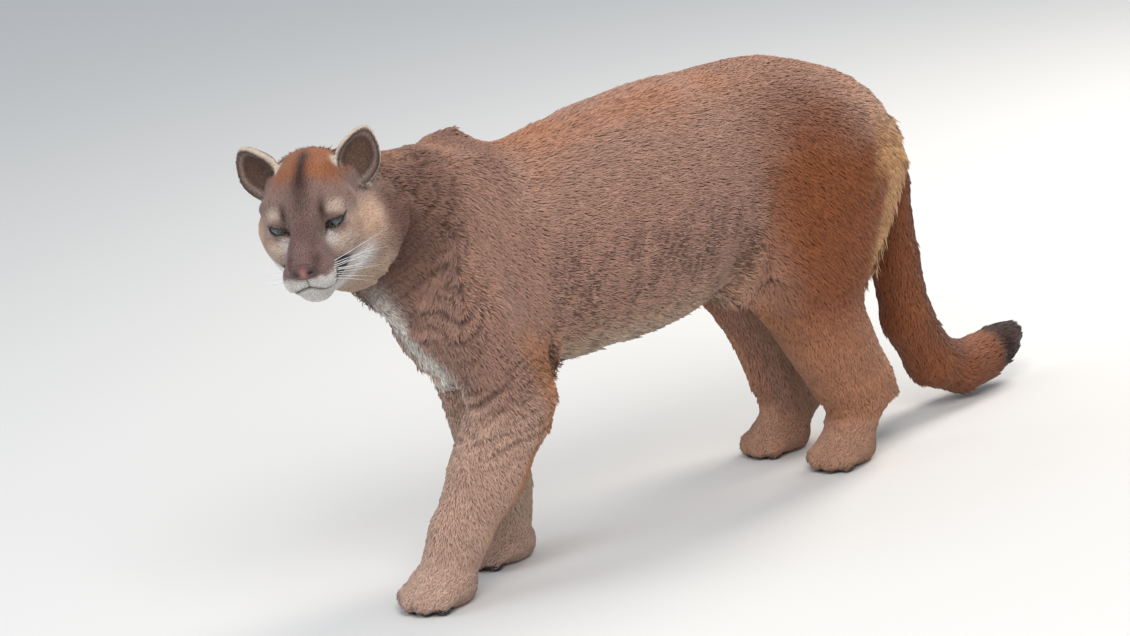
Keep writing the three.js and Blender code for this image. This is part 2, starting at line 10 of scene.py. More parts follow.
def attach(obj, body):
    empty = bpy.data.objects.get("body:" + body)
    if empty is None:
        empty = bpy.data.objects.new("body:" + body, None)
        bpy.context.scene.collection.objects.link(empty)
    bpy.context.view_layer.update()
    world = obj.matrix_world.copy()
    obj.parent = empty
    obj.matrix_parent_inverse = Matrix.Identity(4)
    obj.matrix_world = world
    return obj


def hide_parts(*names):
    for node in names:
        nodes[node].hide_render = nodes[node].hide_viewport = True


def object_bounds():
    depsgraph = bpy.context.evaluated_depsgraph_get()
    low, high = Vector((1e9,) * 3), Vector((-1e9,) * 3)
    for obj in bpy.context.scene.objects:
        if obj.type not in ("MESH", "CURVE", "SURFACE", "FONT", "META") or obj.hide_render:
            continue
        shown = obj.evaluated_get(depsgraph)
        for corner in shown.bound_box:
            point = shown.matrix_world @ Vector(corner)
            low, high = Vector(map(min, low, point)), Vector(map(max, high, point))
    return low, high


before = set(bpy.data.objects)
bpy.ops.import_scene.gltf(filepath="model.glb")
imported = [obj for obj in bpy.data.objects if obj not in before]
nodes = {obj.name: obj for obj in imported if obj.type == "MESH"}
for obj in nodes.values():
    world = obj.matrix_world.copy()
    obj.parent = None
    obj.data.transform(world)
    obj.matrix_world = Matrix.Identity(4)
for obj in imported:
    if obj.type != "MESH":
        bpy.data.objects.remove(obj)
solidBox = [list(corner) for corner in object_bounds()]
mm = 0.001

# Where things are: mm ahead of mid-trunk, to the animal's left, and up, as the solids have them.
place = {
    "shift": (-89.46, 0.66),
    "headCentre": (520, 17, 602),
    "headYaw": 42,
    "headNod": -10,
    "headTilt": 4,
    "eye": (64, 39, 20),
    "eyeRadius": 15.5,
    "nose": (156, 0, -15),
}


def at(ahead, left, up):
    x, y = place["shift"]
    return Vector(((x - ahead) * mm, (y - left) * mm, up * mm))


def headMatrix():
    yaw, nod, tilt = (math.radians(place[key]) for key in ("headYaw", "headNod", "headTilt"))
    ahead = Vector((-math.cos(nod) * math.cos(yaw), -math.cos(nod) * math.sin(yaw), math.sin(nod)))
    level = Vector((math.sin(yaw), -math.cos(yaw), 0))
    left = Matrix.Rotation(tilt, 3, ahead) @ level
    up = ahead.cross(left)
    turn = Matrix((ahead, left, up)).transposed().to_4x4()
    return Matrix.Translation(at(*place["headCentre"])) @ turn @ Matrix.Scale(mm, 4)


headFrame = headMatrix()
fromHead = np.array(headFrame)
toHead = np.array(headFrame.inverted())


def inHead(points):
    return points @ toHead[:3, :3].T + toHead[:3, 3]


def outOfHead(points):
    return points @ fromHead[:3, :3].T + fromHead[:3, 3]


# Small tools for arrays of points.
def unit(vectors):
    return vectors / np.maximum(np.linalg.norm(vectors, axis=-1, keepdims=True), 1e-9)


def ramp(x, low, high):
    t = np.clip((x - low) / (high - low), 0, 1)
    return t * t * (3 - 2 * t)


def bump(distance, width):
    return np.exp(-((distance / width) ** 2))


def mix(a, b, share):
    return a + (b - a) * share[..., None]


def valueNoise(points, seed):
    # Smooth noise from 0 to 1, between hashed values at the corners of a grid.
    cell = np.floor(points).astype(np.int64)
    part = points - cell
    part = part * part * (3 - 2 * part)
    total = np.zeros(len(points))
    for dx in (0, 1):
        for dy in (0, 1):
            for dz in (0, 1):
                x, y, z = cell[:, 0] + dx, cell[:, 1] + dy, cell[:, 2] + dz
                mixed = (x * 73856093) ^ (y * 19349663) ^ (z * 83492791) ^ (seed * 2654435761)
                mixed = (mixed ^ (mixed >> 13)) * 1274126177
                value = ((mixed ^ (mixed >> 16)) & 0xFFFF) / 65535.0
                wx = part[:, 0] if dx else 1 - part[:, 0]
                wy = part[:, 1] if dy else 1 - part[:, 1]
                wz = part[:, 2] if dz else 1 - part[:, 2]
                total += value * wx * wy * wz
    return total


def readArray(items, key, width, kind=np.float32):
    values = np.empty(len(items) * width, kind)
    items.foreach_get(key, values)
    return values.reshape(-1, width)


def meshArrays(mesh):
    points = readArray(mesh.vertices, "co", 3)
    normals = readArray(mesh.vertex_normals, "vector", 3)
    return points.astype(float), normals.astype(float)


def setPoints(mesh, points):
    mesh.vertices.foreach_set("co", points.astype(np.float32).ravel())
    mesh.update()


def insideBox(points, margin):
    # Nothing stands out of the box of the solids.
    low, high = (np.array(corner) for corner in solidBox)
    return np.clip(points, low + margin, high - margin)


def evenly(colour, count):
    return np.repeat(np.array(colour)[None], count, axis=0)


# The share that a round of smoothing takes from the mean of a point's neighbours.
neighbourShare = 0.6


def neighbourMean(mesh, values, rounds):
    a, b = readArray(mesh.edges, "vertices", 2, np.int64).T
    count = np.bincount(np.concatenate((a, b)), minlength=len(mesh.vertices)).astype(float)
    for _ in range(rounds):
        total = np.zeros_like(values)
        for column in range(values.shape[1]):
            total[:, column] = np.bincount(a, values[b, column], len(count))
            total[:, column] += np.bincount(b, values[a, column], len(count))
        mean = neighbourShare * total / np.maximum(count, 1)[:, None]
        values = (1 - neighbourShare) * values + mean
    return values


# Small tools for objects.
def addToScene(thing):
    bpy.context.scene.collection.objects.link(thing)
    return thing


def selectOnly(*pieces):
    bpy.ops.object.select_all(action="DESELECT")
    for piece in pieces:
        piece.select_set(True)
    bpy.context.view_layer.objects.active = pieces[0]


def joined(pieces, name):
    selectOnly(*pieces)
    bpy.ops.object.join()
    piece = bpy.context.view_layer.objects.active
    piece.name = name
    return piece


def onWholeMesh(operator, **settings):
    # Runs an edit-mode operator on all of the active object's mesh.
    bpy.ops.object.mode_set(mode="EDIT")
    bpy.ops.mesh.select_all(action="SELECT")
    operator(**settings)
    bpy.ops.object.mode_set(mode="OBJECT")


def bareCopy(node):
    # A CAD node's copy, with a mesh of its own and without the node's records.
    copy = node.copy()
    copy.data = node.data.copy()
    copy.parent = None
    for key in list(copy.keys()):
        del copy[key]
    return addToScene(copy)


def remeshed(piece, voxel):
    # A CAD node's mesh is loose triangles, so they are welded before the remesh.
    onWholeMesh(bpy.ops.mesh.remove_doubles, threshold=0.00001)
    remesh = piece.modifiers.new("fine", "REMESH")
    remesh.mode = "VOXEL"
    remesh.voxel_size = voxel
    bpy.ops.object.modifier_apply(modifier=remesh.name)


def tube(name, spots, radii, thick, resolution, closed):
    # A round hair or roll through these spots of the head's frame, still a curve.
    curve = bpy.data.curves.new(name, "CURVE")
    curve.dimensions = "3D"
    curve.bevel_depth = thick * mm
    curve.bevel_resolution = resolution
    curve.use_fill_caps = not closed
    spline = curve.splines.new("POLY")
    spline.points.add(len(spots) - 1)
    spline.use_cyclic_u = closed
    for point, where, radius in zip(spline.points, spots, radii):
        point.co = (*outOfHead(where[None])[0], 1)
        point.radius = radius
    return addToScene(bpy.data.objects.new(name, curve))


def meshOf(curves, name):
    selectOnly(*curves)
    bpy.ops.object.convert(target="MESH")
    return joined(list(bpy.context.selected_objects), name)


# How the coat differs from one part of the body to another: depth of the coat over the skin, length
# and width of a lock in mm, how far it stands off in degrees, how dense it grows against the rest, and the
# way it lies, as ahead, left and up.
coatOf = {
    "thorax": dict(depth=3.8, length=17, width=1.7, lift=16, density=185, lie=(-1, 0, -0.3)),
    "abdomen": dict(depth=3.8, length=18, width=1.7, lift=16, density=185, lie=(-1, 0, -0.25)),
    "rump": dict(depth=3.8, length=17, width=1.7, lift=16, density=185, lie=(-1, 0, -0.3)),
    "neck": dict(depth=3.6, length=12, width=1.5, lift=11, density=215, lie=(-0.8, 0, -0.6)),
    "shoulder": dict(depth=3.4, length=14, width=1.6, lift=16, density=205, lie=(-0.6, 0, -0.8)),
    "forearm": dict(depth=2.4, length=11, width=1.4, lift=16, density=225, lie=(-0.35, 0, -1)),
    "forepaw": dict(depth=1.4, length=7, width=1.2, lift=17, density=300, lie=(0.8, 0, -0.4)),
    "thigh": dict(depth=3.8, length=16, width=1.7, lift=18, density=195, lie=(-0.55, 0, -0.85)),
    "shank": dict(depth=2.4, length=11, width=1.4, lift=16, density=225, lie=(-0.3, 0, -1)),
    "hindpaw": dict(depth=1.4, length=7, width=1.2, lift=17, density=300, lie=(0.8, 0, -0.4)),
    "tail": dict(depth=3.6, length=15, width=1.7, lift=20, density=220, lie=(0, 0, -1)),
    "head": dict(depth=1.2, length=6.5, width=0.95, lift=15, density=520, lie=(-1, 0, 0)),
    "ear": dict(depth=0.5, length=4.5, width=0.8, lift=11, density=560, lie=(0, 0, 1)),
}
regionNames = list(coatOf)


def regionOf(nodeName):
    region = nodeName.split("_")[0]
    return region if region in coatOf else "head"


def byRegion(weights):
    return {name: weights[:, i] for i, name in enumerate(regionNames)}


def coatValue(weights, key):
    return weights @ np.array([coatOf[name][key] for name in regionNames])


# One closed skin from the flesh of all the nodes, finer on the head.
skinSettings = {
    "voxel": 0.0024,
    "bodyShare": 0.3,
    "coarseSteps": 10,
    "labelRounds": 14,
    "bodyRounds": 18,
    "headRounds": 2,
    "foldRounds": 14,
    "pull": 0.55,
    "push": 0.57,
    "crinkleDepth": 2.6,
    "shade": 0.72,
    "partingShade": 0.35,
}


def makeSkin():
    skin = joined([bareCopy(node) for node in nodes.values()], "skin")
    skin.data.materials.clear()
    remeshed(skin, skinSettings["voxel"])
    dropInnerShells(skin)
    # The body needs fewer points than the head, its ears above all.
    points, _ = meshArrays(skin.data)
    onBody = 1 - nearHead(inHead(points))
    group = skin.vertex_groups.new(name="coarse")
    steps = skinSettings["coarseSteps"]
    for step in range(1, steps + 1):
        chosen = np.flatnonzero(np.ceil(onBody * steps) == step)
        group.add([int(i) for i in chosen], step / steps, "REPLACE")
    thin = skin.modifiers.new("thin", "DECIMATE")
    thin.ratio = skinSettings["bodyShare"]
    thin.vertex_group = "coarse"
    thin.vertex_group_factor = 1
    bpy.ops.object.modifier_apply(modifier=thin.name)
    skin.vertex_groups.clear()
    print("skin thinned to", len(skin.data.vertices), "points", len(skin.data.polygons), "faces")
    return skin


def dropInnerShells(skin):
    # Only the outermost closed surface stays; what is sealed inside it goes.
    work = bmesh.new()
    work.from_mesh(skin.data)
    seen = set()
    shells = []
    for start in work.verts:
        if start in seen:
            continue
        shell = [start]
        seen.add(start)
        for vertex in shell:
            for edge in vertex.link_edges:
                other = edge.other_vert(vertex)
                if other not in seen:
                    seen.add(other)
                    shell.append(other)
        shells.append(shell)
    biggest = max(shells, key=len)
    loose = [vertex for shell in shells if shell is not biggest for vertex in shell]
    bmesh.ops.delete(work, geom=loose, context="VERTS")
    work.to_mesh(skin.data)
    work.free()
    print("skin shells", len(shells), "vertices", len(skin.data.vertices))


def nearHead(q):
    return ramp(q[:, 0], -78, -50) * ramp(-np.abs(q[:, 1]), -140, -125) * ramp(q[:, 2], -110, -95)


def regionWeights(skin):
    # The nearest node gives each point its region, and smoothing blends one into the next.
    tree = KDTree(sum(len(node.data.vertices) for node in nodes.values()))
    labels = []
    for name, node in nodes.items():
        for vertex in node.data.vertices:
            tree.insert(vertex.co, len(labels))
            labels.append(regionNames.index(regionOf(name)))
    tree.balance()
    points, _ = meshArrays(skin.data)
    found = np.array([labels[tree.find(p)[1]] for p in points])
    soft = neighbourMean(skin.data, np.eye(len(regionNames))[found], skinSettings["labelRounds"])
    return soft / soft.sum(axis=1, keepdims=True)


# The face: the opening between the lids and the line of the mouth, which are carved into the skin.
face = {
    "lidHalf": 15,
    "lidUpper": 5.4,
    "lidLower": 5.6,
    "slant": 16,
    "gazeOut": 14,
    "lidOver": 1.3,
    "mouthCorner": 92,
    "mouthFront": 146,
    "mouthHalfWidth": 36,
    "mouthUp": -47,
    "mouthBow": 5,
    "mouthSteps": 61,
    "lipDepth": 4.0,
}


def eyeFrame(side):
    out = math.radians(face["gazeOut"] * side)
    slant = math.radians(face["slant"] * side)
    gaze = np.array((math.cos(out), math.sin(out), 0))
    across = np.array((-math.sin(out), math.cos(out), 0))
    up = np.array((0, 0, 1.0))
    tiltedAcross = across * math.cos(slant) + up * math.sin(slant)
    tiltedUp = up * math.cos(slant) - across * math.sin(slant)
    return np.array(place["eye"]) * (1, side, 1), gaze, tiltedAcross, tiltedUp


def lidEdges(outward):
    # How far the upper and lower lids stand open, at this far outward from the middle of the eye.
    share = np.clip(outward / face["lidHalf"], -1, 1)
    closing = np.clip(1 - share**2, 0, 1)
    upper = face["lidUpper"] * closing**0.7 * (1 - 0.25 * share)
    lower = face["lidLower"] * closing**0.85 * (1 + 0.15 * share)
    return upper, lower


def pastLids(q, side):
    # How far each point lies beyond the edge of the opening between the lids, over the front of the eye.
    centre, gaze, across, up = eyeFrame(side)
    r = q - centre
    outward, height, ahead = (r @ across) * side, r @ up, r @ gaze
    upper, lower = lidEdges(outward)
    beside = np.maximum(np.abs(outward) - face["lidHalf"], 0)
    past = np.where(height > 0, height - upper, -height - lower)
    past = np.where(beside > 0, np.hypot(beside, np.abs(height)), past)
    return past, outward, height, ahead, np.linalg.norm(r, axis=1)


def mouthCurve():
    share = np.linspace(-1, 1, face["mouthSteps"])
    x = face["mouthCorner"] + (face["mouthFront"] - face["mouthCorner"]) * np.cos(share * np.pi / 2) ** 0.4
    y = face["mouthHalfWidth"] * np.sin(share * np.pi / 2)
    z = face["mouthUp"] + face["mouthBow"] * np.cos(share * np.pi * 1.5)
    return np.stack((x, y, z), axis=1)


def mouthGap(q):
    # How far each point is from the line of the mouth, where depth counts for little.
    gap = np.full(len(q), 99.0)
    near = np.flatnonzero((q[:, 0] > 80) & (q[:, 2] < -25) & (q[:, 2] > -70) & (np.abs(q[:, 1]) < 55))
    if len(near):
        apart = (q[near, None, :] - mouthCurve()[None]) * np.array((0.15, 1, 1))
        gap[near] = np.linalg.norm(apart, axis=2).min(axis=1)
    return gap


def carveFace(q, normals):
    q = q.copy()
    radius = place["eyeRadius"]
    for side in (1, -1):
        centre, gaze = eyeFrame(side)[:2]
        past, outward, height, ahead, distance = pastLids(q, side)
        inFront = ahead > 2
        close = distance < radius + 16
        # Skin between the lids drops behind the eyeball, and all round it clears the ball.
        cover = radius + face["lidOver"] + 0.5 * (height > 0)
        onLid = bump(np.maximum(past, 0), 5.5) * (np.abs(outward) < 26) * inFront * close
        wanted = distance + (cover + np.maximum(past, 0) * 0.3 - distance) * onLid * 0.9
        wanted = np.where(inFront & close, np.maximum(wanted, cover), distance)
        wanted = np.where(inFront & close & (past < 0), np.minimum(distance, radius * 0.6), wanted)
        q = centre + (q - centre) * (wanted / np.maximum(distance, 1e-6))[:, None]
        # A fold over the upper lid, a softer one under the lower lid, and the brow above them.
        near = inFront * (distance < radius + 22) * bump(outward, 17)
        fold = bump(past - 4.2, 1.2) * (height > 0)
        pouch = bump(past - 4.8, 1.5) * (height < 0)
        brow = bump(past - 10, 4.5) * (height > 0)
        q -= gaze * ((1.3 * fold + 0.8 * pouch - 2.4 * brow) * near)[:, None]
        # The inner corner runs on as a small groove.
        tear = bump(outward + face["lidHalf"] + 4, 4) * bump(height + 3.5, 3) * inFront
        q -= gaze * (1.2 * tear)[:, None]
    away = mouthGap(q)
    q -= normals * (face["lipDepth"] * bump(away, 1.6) - bump(away - 5, 2.6))[:, None]
    # The groove from nose to lip.
    groove = bump(q[:, 1], 1.4) * ramp(q[:, 0], 135, 148) * bump(q[:, 2] + 38, 9)
    q -= normals * (2.0 * groove)[:, None]
    return q


def longHair(points, normals, weights):
    # Where hair is long: behind the thighs, and along the belly.
    body = bodyPlace(points)
    behind = ramp(normals[:, 0], 0.35, 0.85) * ramp(body[:, 0], -300, -400) * ramp(body[:, 2], 170, 260)
    offTail = np.clip(1 - 2 * byRegion(weights)["tail"], 0, 1)
    belly = ramp(-normals[:, 2], 0.35, 0.85) * ramp(body[:, 2], 230, 260) * ramp(body[:, 0], 330, 290)
    return behind * offTail, belly * offTail


def shapeSkin(skin, weights):
    points, _ = meshArrays(skin.data)
    onHead = nearHead(inHead(points))
    keep = points
    # Shrink and swell in turn smooths without making anything smaller, and the head takes less of it.
    for done in range(1, skinSettings["bodyRounds"] + 1):
        for step in (skinSettings["pull"], -skinSettings["push"]):
            mean = neighbourMean(skin.data, points, 1)
            points = points + (mean - points) * step / neighbourShare
        if done == skinSettings["headRounds"]:
            keep = points
    # Folds between two regions are softer in the coat than in the solids.
    fold = ramp(1 - (weights**2).sum(axis=1), 0.12, 0.42) * (1 - onHead)
    soft = neighbourMean(skin.data, points, skinSettings["foldRounds"])
    points = mix(points, soft, 0.8 * fold)
    points = mix(points, keep, onHead)
    setPoints(skin.data, points)
    _, normals = meshArrays(skin.data)
    normals = unit(neighbourMean(skin.data, normals, 2))
    depth = coatValue(weights, "depth")
    behind, belly = longHair(points, normals, weights)
    depth += 5 * behind + 2.5 * belly
    relief = skinSettings["crinkleDepth"] * crinkle(points, weights)
    points = points - normals * ((depth + relief) * mm)[:, None]
    setPoints(skin.data, points)
    _, normals = meshArrays(skin.data)
    q = carveFace(inHead(points), unit(normals @ fromHead[:3, :3]))
    points = np.where((onHead > 0.01)[:, None], outOfHead(q), points)
    setPoints(skin.data, points)
    print("skin shaped")


earLook = {"height": 90, "width": 66, "tipOut": (0.48, 0.66)}


def earFrame(side):
    # An ear's middle, and its facing, sideways and upright directions, in the head's frame.
    out = earLook["tipOut"][0 if side > 0 else 1]
    upright = unit(np.array((-0.2, out * side, 0.83)))
    facing = np.array((1, 0.32 * side, 0.08))
    facing = unit(facing - upright * (facing @ upright))
    aside = np.cross(upright, facing)
    return np.array((-22, 72 * side, 70)), facing, upright, aside


# Which way the coat lies at each point of the skin.
def lieField(skin, weights):
    points, normals = meshArrays(skin.data)
    lie = np.zeros_like(points)
    for i, name in enumerate(regionNames):
        ahead, left, up = coatOf[name]["lie"]
        lie += weights[:, i : i + 1] * np.array((-ahead, -left, up))
    body = bodyPlace(points)
    q = inHead(points)
    on = byRegion(weights)
    # On the face hair runs back from the nose, up the brow, and out and down over the cheeks.
    local = np.stack((-np.ones(len(q)), 0.012 * q[:, 1], np.zeros(len(q))), axis=1)
    local[:, 2] = 0.6 * ramp(q[:, 2], 0, 60) - 0.7 * ramp(-q[:, 2], 0, 70)
    local[:, 1] += ramp(q[:, 0], 90, 130) * 0.05 * q[:, 1]
    faceLie = unit(local @ fromHead[:3, :3].T)
    for side in (1, -1):
        onSide = q[:, 1] * side > 0
        earLie = unit((earFrame(side)[2] @ fromHead[:3, :3].T)[None])
        share = np.clip(on["ear"] * 1.6, 0, 1) * onSide
        faceLie = mix(faceLie, earLie, share)
    # Along the tail it runs to the tip.
    down = ramp(body[:, 0], -600, -700)
    tailLie = np.stack((0.1 + 0.9 * down, 0 * down, -1 + 1.15 * down), axis=1)
    lie = mix(unit(lie), faceLie, np.clip((on["head"] + on["ear"]) * 1.4, 0, 1))
    lie = mix(lie, unit(tailLie), np.clip(on["tail"] * 1.4, 0, 1))
    lie = neighbourMean(skin.data, unit(lie), 8)
    lie -= normals * (lie * normals).sum(axis=1, keepdims=True)
    return unit(lie)


def bodyPlace(points):
    x, y = place["shift"]
    return np.stack((x - points[:, 0] / mm, y - points[:, 1] / mm, points[:, 2] / mm), axis=1)


# Colours of the coat, as sRGB 0 to 255, and where each shows.
coatColours = {
    "flank": (174, 134, 116),
    "flankLow": (198, 156, 130),
    "spine": (184, 122, 84),
    "hip": (132, 92, 76),
    "thigh": (146, 84, 48),
    "belly": (202, 176, 152),
    "chest": (246, 238, 228),
    "foreleg": (204, 166, 146),
    "legRear": (192, 122, 66),
    # Painted rim light, pale gold, for the back of the thigh.
    "thighRimLight": (218, 166, 114),
    "shank": (188, 132, 100),
    # Painted shade for the inner side of the far hind leg.
    "farLegShade": (168, 126, 110),
    "paw": (212, 176, 156),
    "tail": (148, 90, 58),
    "tailTop": (112, 66, 46),
    "tailTip": (58, 34, 28),
    # Dark neck colour; under and behind the cheeks it is laid on as painted shade.
    "neck": (122, 90, 78),
    "face": (146, 118, 108),
    "crown": (160, 96, 56),
    "cheek": (212, 176, 150),
    "dusk": (96, 68, 62),
    "stripe": (58, 36, 32),
    "dark": (34, 25, 23),
    "white": (240, 234, 228),
    "pale": (214, 192, 174),
    "muzzle": (142, 112, 108),
    "earBack": (112, 86, 72),
    "earInside": (74, 50, 50),
    "earRim": (228, 210, 188),
}


def linear(name):
    values = np.array(coatColours[name]) / 255.0
    return np.where(values <= 0.04045, values / 12.92, ((values + 0.055) / 1.055) ** 2.4)


def spot(q, centre, size):
    # A soft-edged spot, 1 at its middle.
    d = (q - np.array(centre)) / np.array(size)
    return np.exp(-((d**2).sum(axis=1) ** 1.5))


def layered(colour, layers):
    # A layer is the name of a colour and how much of it shows at each point.
    for name, share in layers:
        colour = mix(colour, linear(name), np.clip(share, 0, 1))
    return colour


def crinkle(points, weights):
    # Wavy lines across the lie, where the winter coat parts: 1 in a parting and 0 between them.
    on = byRegion(weights)
    ahead, left, up = bodyPlace(points).T
    wander = 14 * (valueNoise(points * 22, 31) - 0.5)

    def parting(along, across, seed, spacing, reach):
        level = across * 0 + seed
        warp = valueNoise(np.stack((along / spacing / 3, across / reach / 1.2, level), axis=1), seed)
        whole = valueNoise(np.stack((along / spacing, across / reach, level), axis=1), seed + 1)
        wave = np.sin(2 * math.pi * (along / spacing + 2.4 * warp))
        return ramp(wave, 0.25, 0.95) * ramp(whole, 0.28, 0.5)

    girth = np.where(np.abs(left) > 60, left, ahead)
    flank = parting(ahead + 0.35 * up + wander, up - 0.5 * ahead, 41, 13, 38)
    neck = parting(0.8 * ahead + 0.55 * up + wander, 0.6 * ahead - 0.8 * up + left, 43, 11, 26)
    legs = parting(up + 0.25 * ahead + wander * 0.8, girth, 47, 10.5, 28)
    trunk = on["thorax"] + on["abdomen"] + on["rump"]
    low = 0.2 + 0.8 * ramp(up, 520, 430)
    chest = ramp(ahead, 300, 360)
    strength = flank * trunk * low * (0.35 + 0.65 * ramp(ahead, -290, -190))
    strength += neck * (on["neck"] + on["shoulder"] * chest)
    strength += legs * on["shoulder"] * (1 - chest) * ramp(up, 420, 330)
    strength += 0.22 * flank * on["shoulder"] * (1 - chest) * ramp(up, 330, 420)
    strength += legs * on["forearm"] * (0.15 + 0.85 * ramp(up, 180, 250))
    strength += 0.3 * legs * (on["thigh"] + on["shank"]) + 0.15 * legs * on["tail"]
    return np.clip(strength, 0, 1)


def coatTint(points, normals, weights):
    on = byRegion(weights)
    ahead, left, up = bodyPlace(points).T
    facingAhead, facingLeft, facingUp = -normals[:, 0], -normals[:, 1], normals[:, 2]
    side = np.sign(left)
    trunk = on["thorax"] + on["abdomen"] + on["rump"]
    patch = valueNoise(points * 7, 11) - 0.5
    mottle = valueNoise(points * 19, 12) - 0.5
    spine = ramp(facingUp + patch * 0.3, 0.5, 0.95) * (0.55 + mottle)
    hip = bump(ahead + 330 + 60 * patch, 90) * bump(up - 560, 80)
    blades = bump(ahead - 235, 60) * bump(up - 640, 45) * (on["neck"] + on["shoulder"] + trunk)
    haunch = ramp(ahead + 70 * patch, -150, -300) * ramp(up - 0.35 * ahead + 90 * mottle, 740, 560)
    rear = (on["forearm"] + on["shoulder"] * ramp(up, 420, 330)) * ramp(facingAhead, 0.05, -0.55)
    upperLeg = on["thigh"] + on["rump"] + on["shank"] * ramp(up, 170, 330)
    feet = on["forepaw"] + 0.4 * on["hindpaw"] + on["forearm"] * ramp(up, 160, 70) * 0.6
    inner = ramp(-facingLeft * side, 0.35, 0.85)
    inside = 0.7 * on["forearm"] + 0.25 * on["shank"] + on["shoulder"] * ramp(up, 420, 320)
    # White down the throat and between the forelegs.
    lower = ramp(up, 430, 330)
    throat = bump(left + 22 - 0.25 * np.maximum(ahead - 380, 0) - 44 * lower, 18 + 14 * lower)
    throat *= ramp(-facingUp, -0.35, 0.1) * ramp(facingAhead, -0.1, 0.3) * ramp(ahead, 260, 310)
    # Painted rim light: a pale golden edge down the back of the thigh, light from behind painted into the
    # coat.
    hind = on["thigh"] + on["rump"] + 0.5 * on["shank"]
    edge = ramp(facingAhead + mottle * 0.4, 0.08, -0.36) * ramp(ahead + 0.12 * up, -325, -370)
    edge = edge * ramp(up, 580, 440) * ramp(up, 170, 260)
    layers = (
        ("flankLow", trunk * ramp(up + 50 * patch, 400, 320) * 0.7),
        ("neck", on["neck"] * 0.85),
        ("spine", (trunk + 0.7 * on["neck"] + 0.7 * on["shoulder"]) * spine),
        ("hip", hip * (trunk + on["thigh"]) * 0.8),
        ("hip", blades * 0.7),
        ("belly", (trunk + on["thigh"]) * ramp(-facingUp + patch * 0.3, 0.45, 1.0)),
        ("foreleg", on["forearm"] + 0.8 * on["shoulder"] * ramp(up, 330, 250)),
        ("legRear", rear * 0.85),
        ("shank", on["shank"] + on["hindpaw"]),
        ("thigh", upperLeg * haunch),
        # Painted shade on the inner side of the far hind leg.
        ("farLegShade", on["shank"] * (side < 0) * ramp(facingLeft, -0.2, 0.5) * 0.8),
        ("paw", feet),
        ("belly", inside * inner),
        ("chest", (1 - on["head"]) * throat * ramp(up, 210, 290) * 0.95),
        ("thighRimLight", hind * edge * (1 - on["tail"])),
        ("tail", on["tail"]),
        ("tailTop", on["tail"] * ramp(facingAhead, 0.0, -0.7) * 0.8),
        ("tailTip", on["tail"] * ramp(ahead + 20 * mottle, -715, -755)),
    )
    colour = layered(evenly(linear("flank"), len(points)), layers)
    return paintHead(colour, points, on, patch)


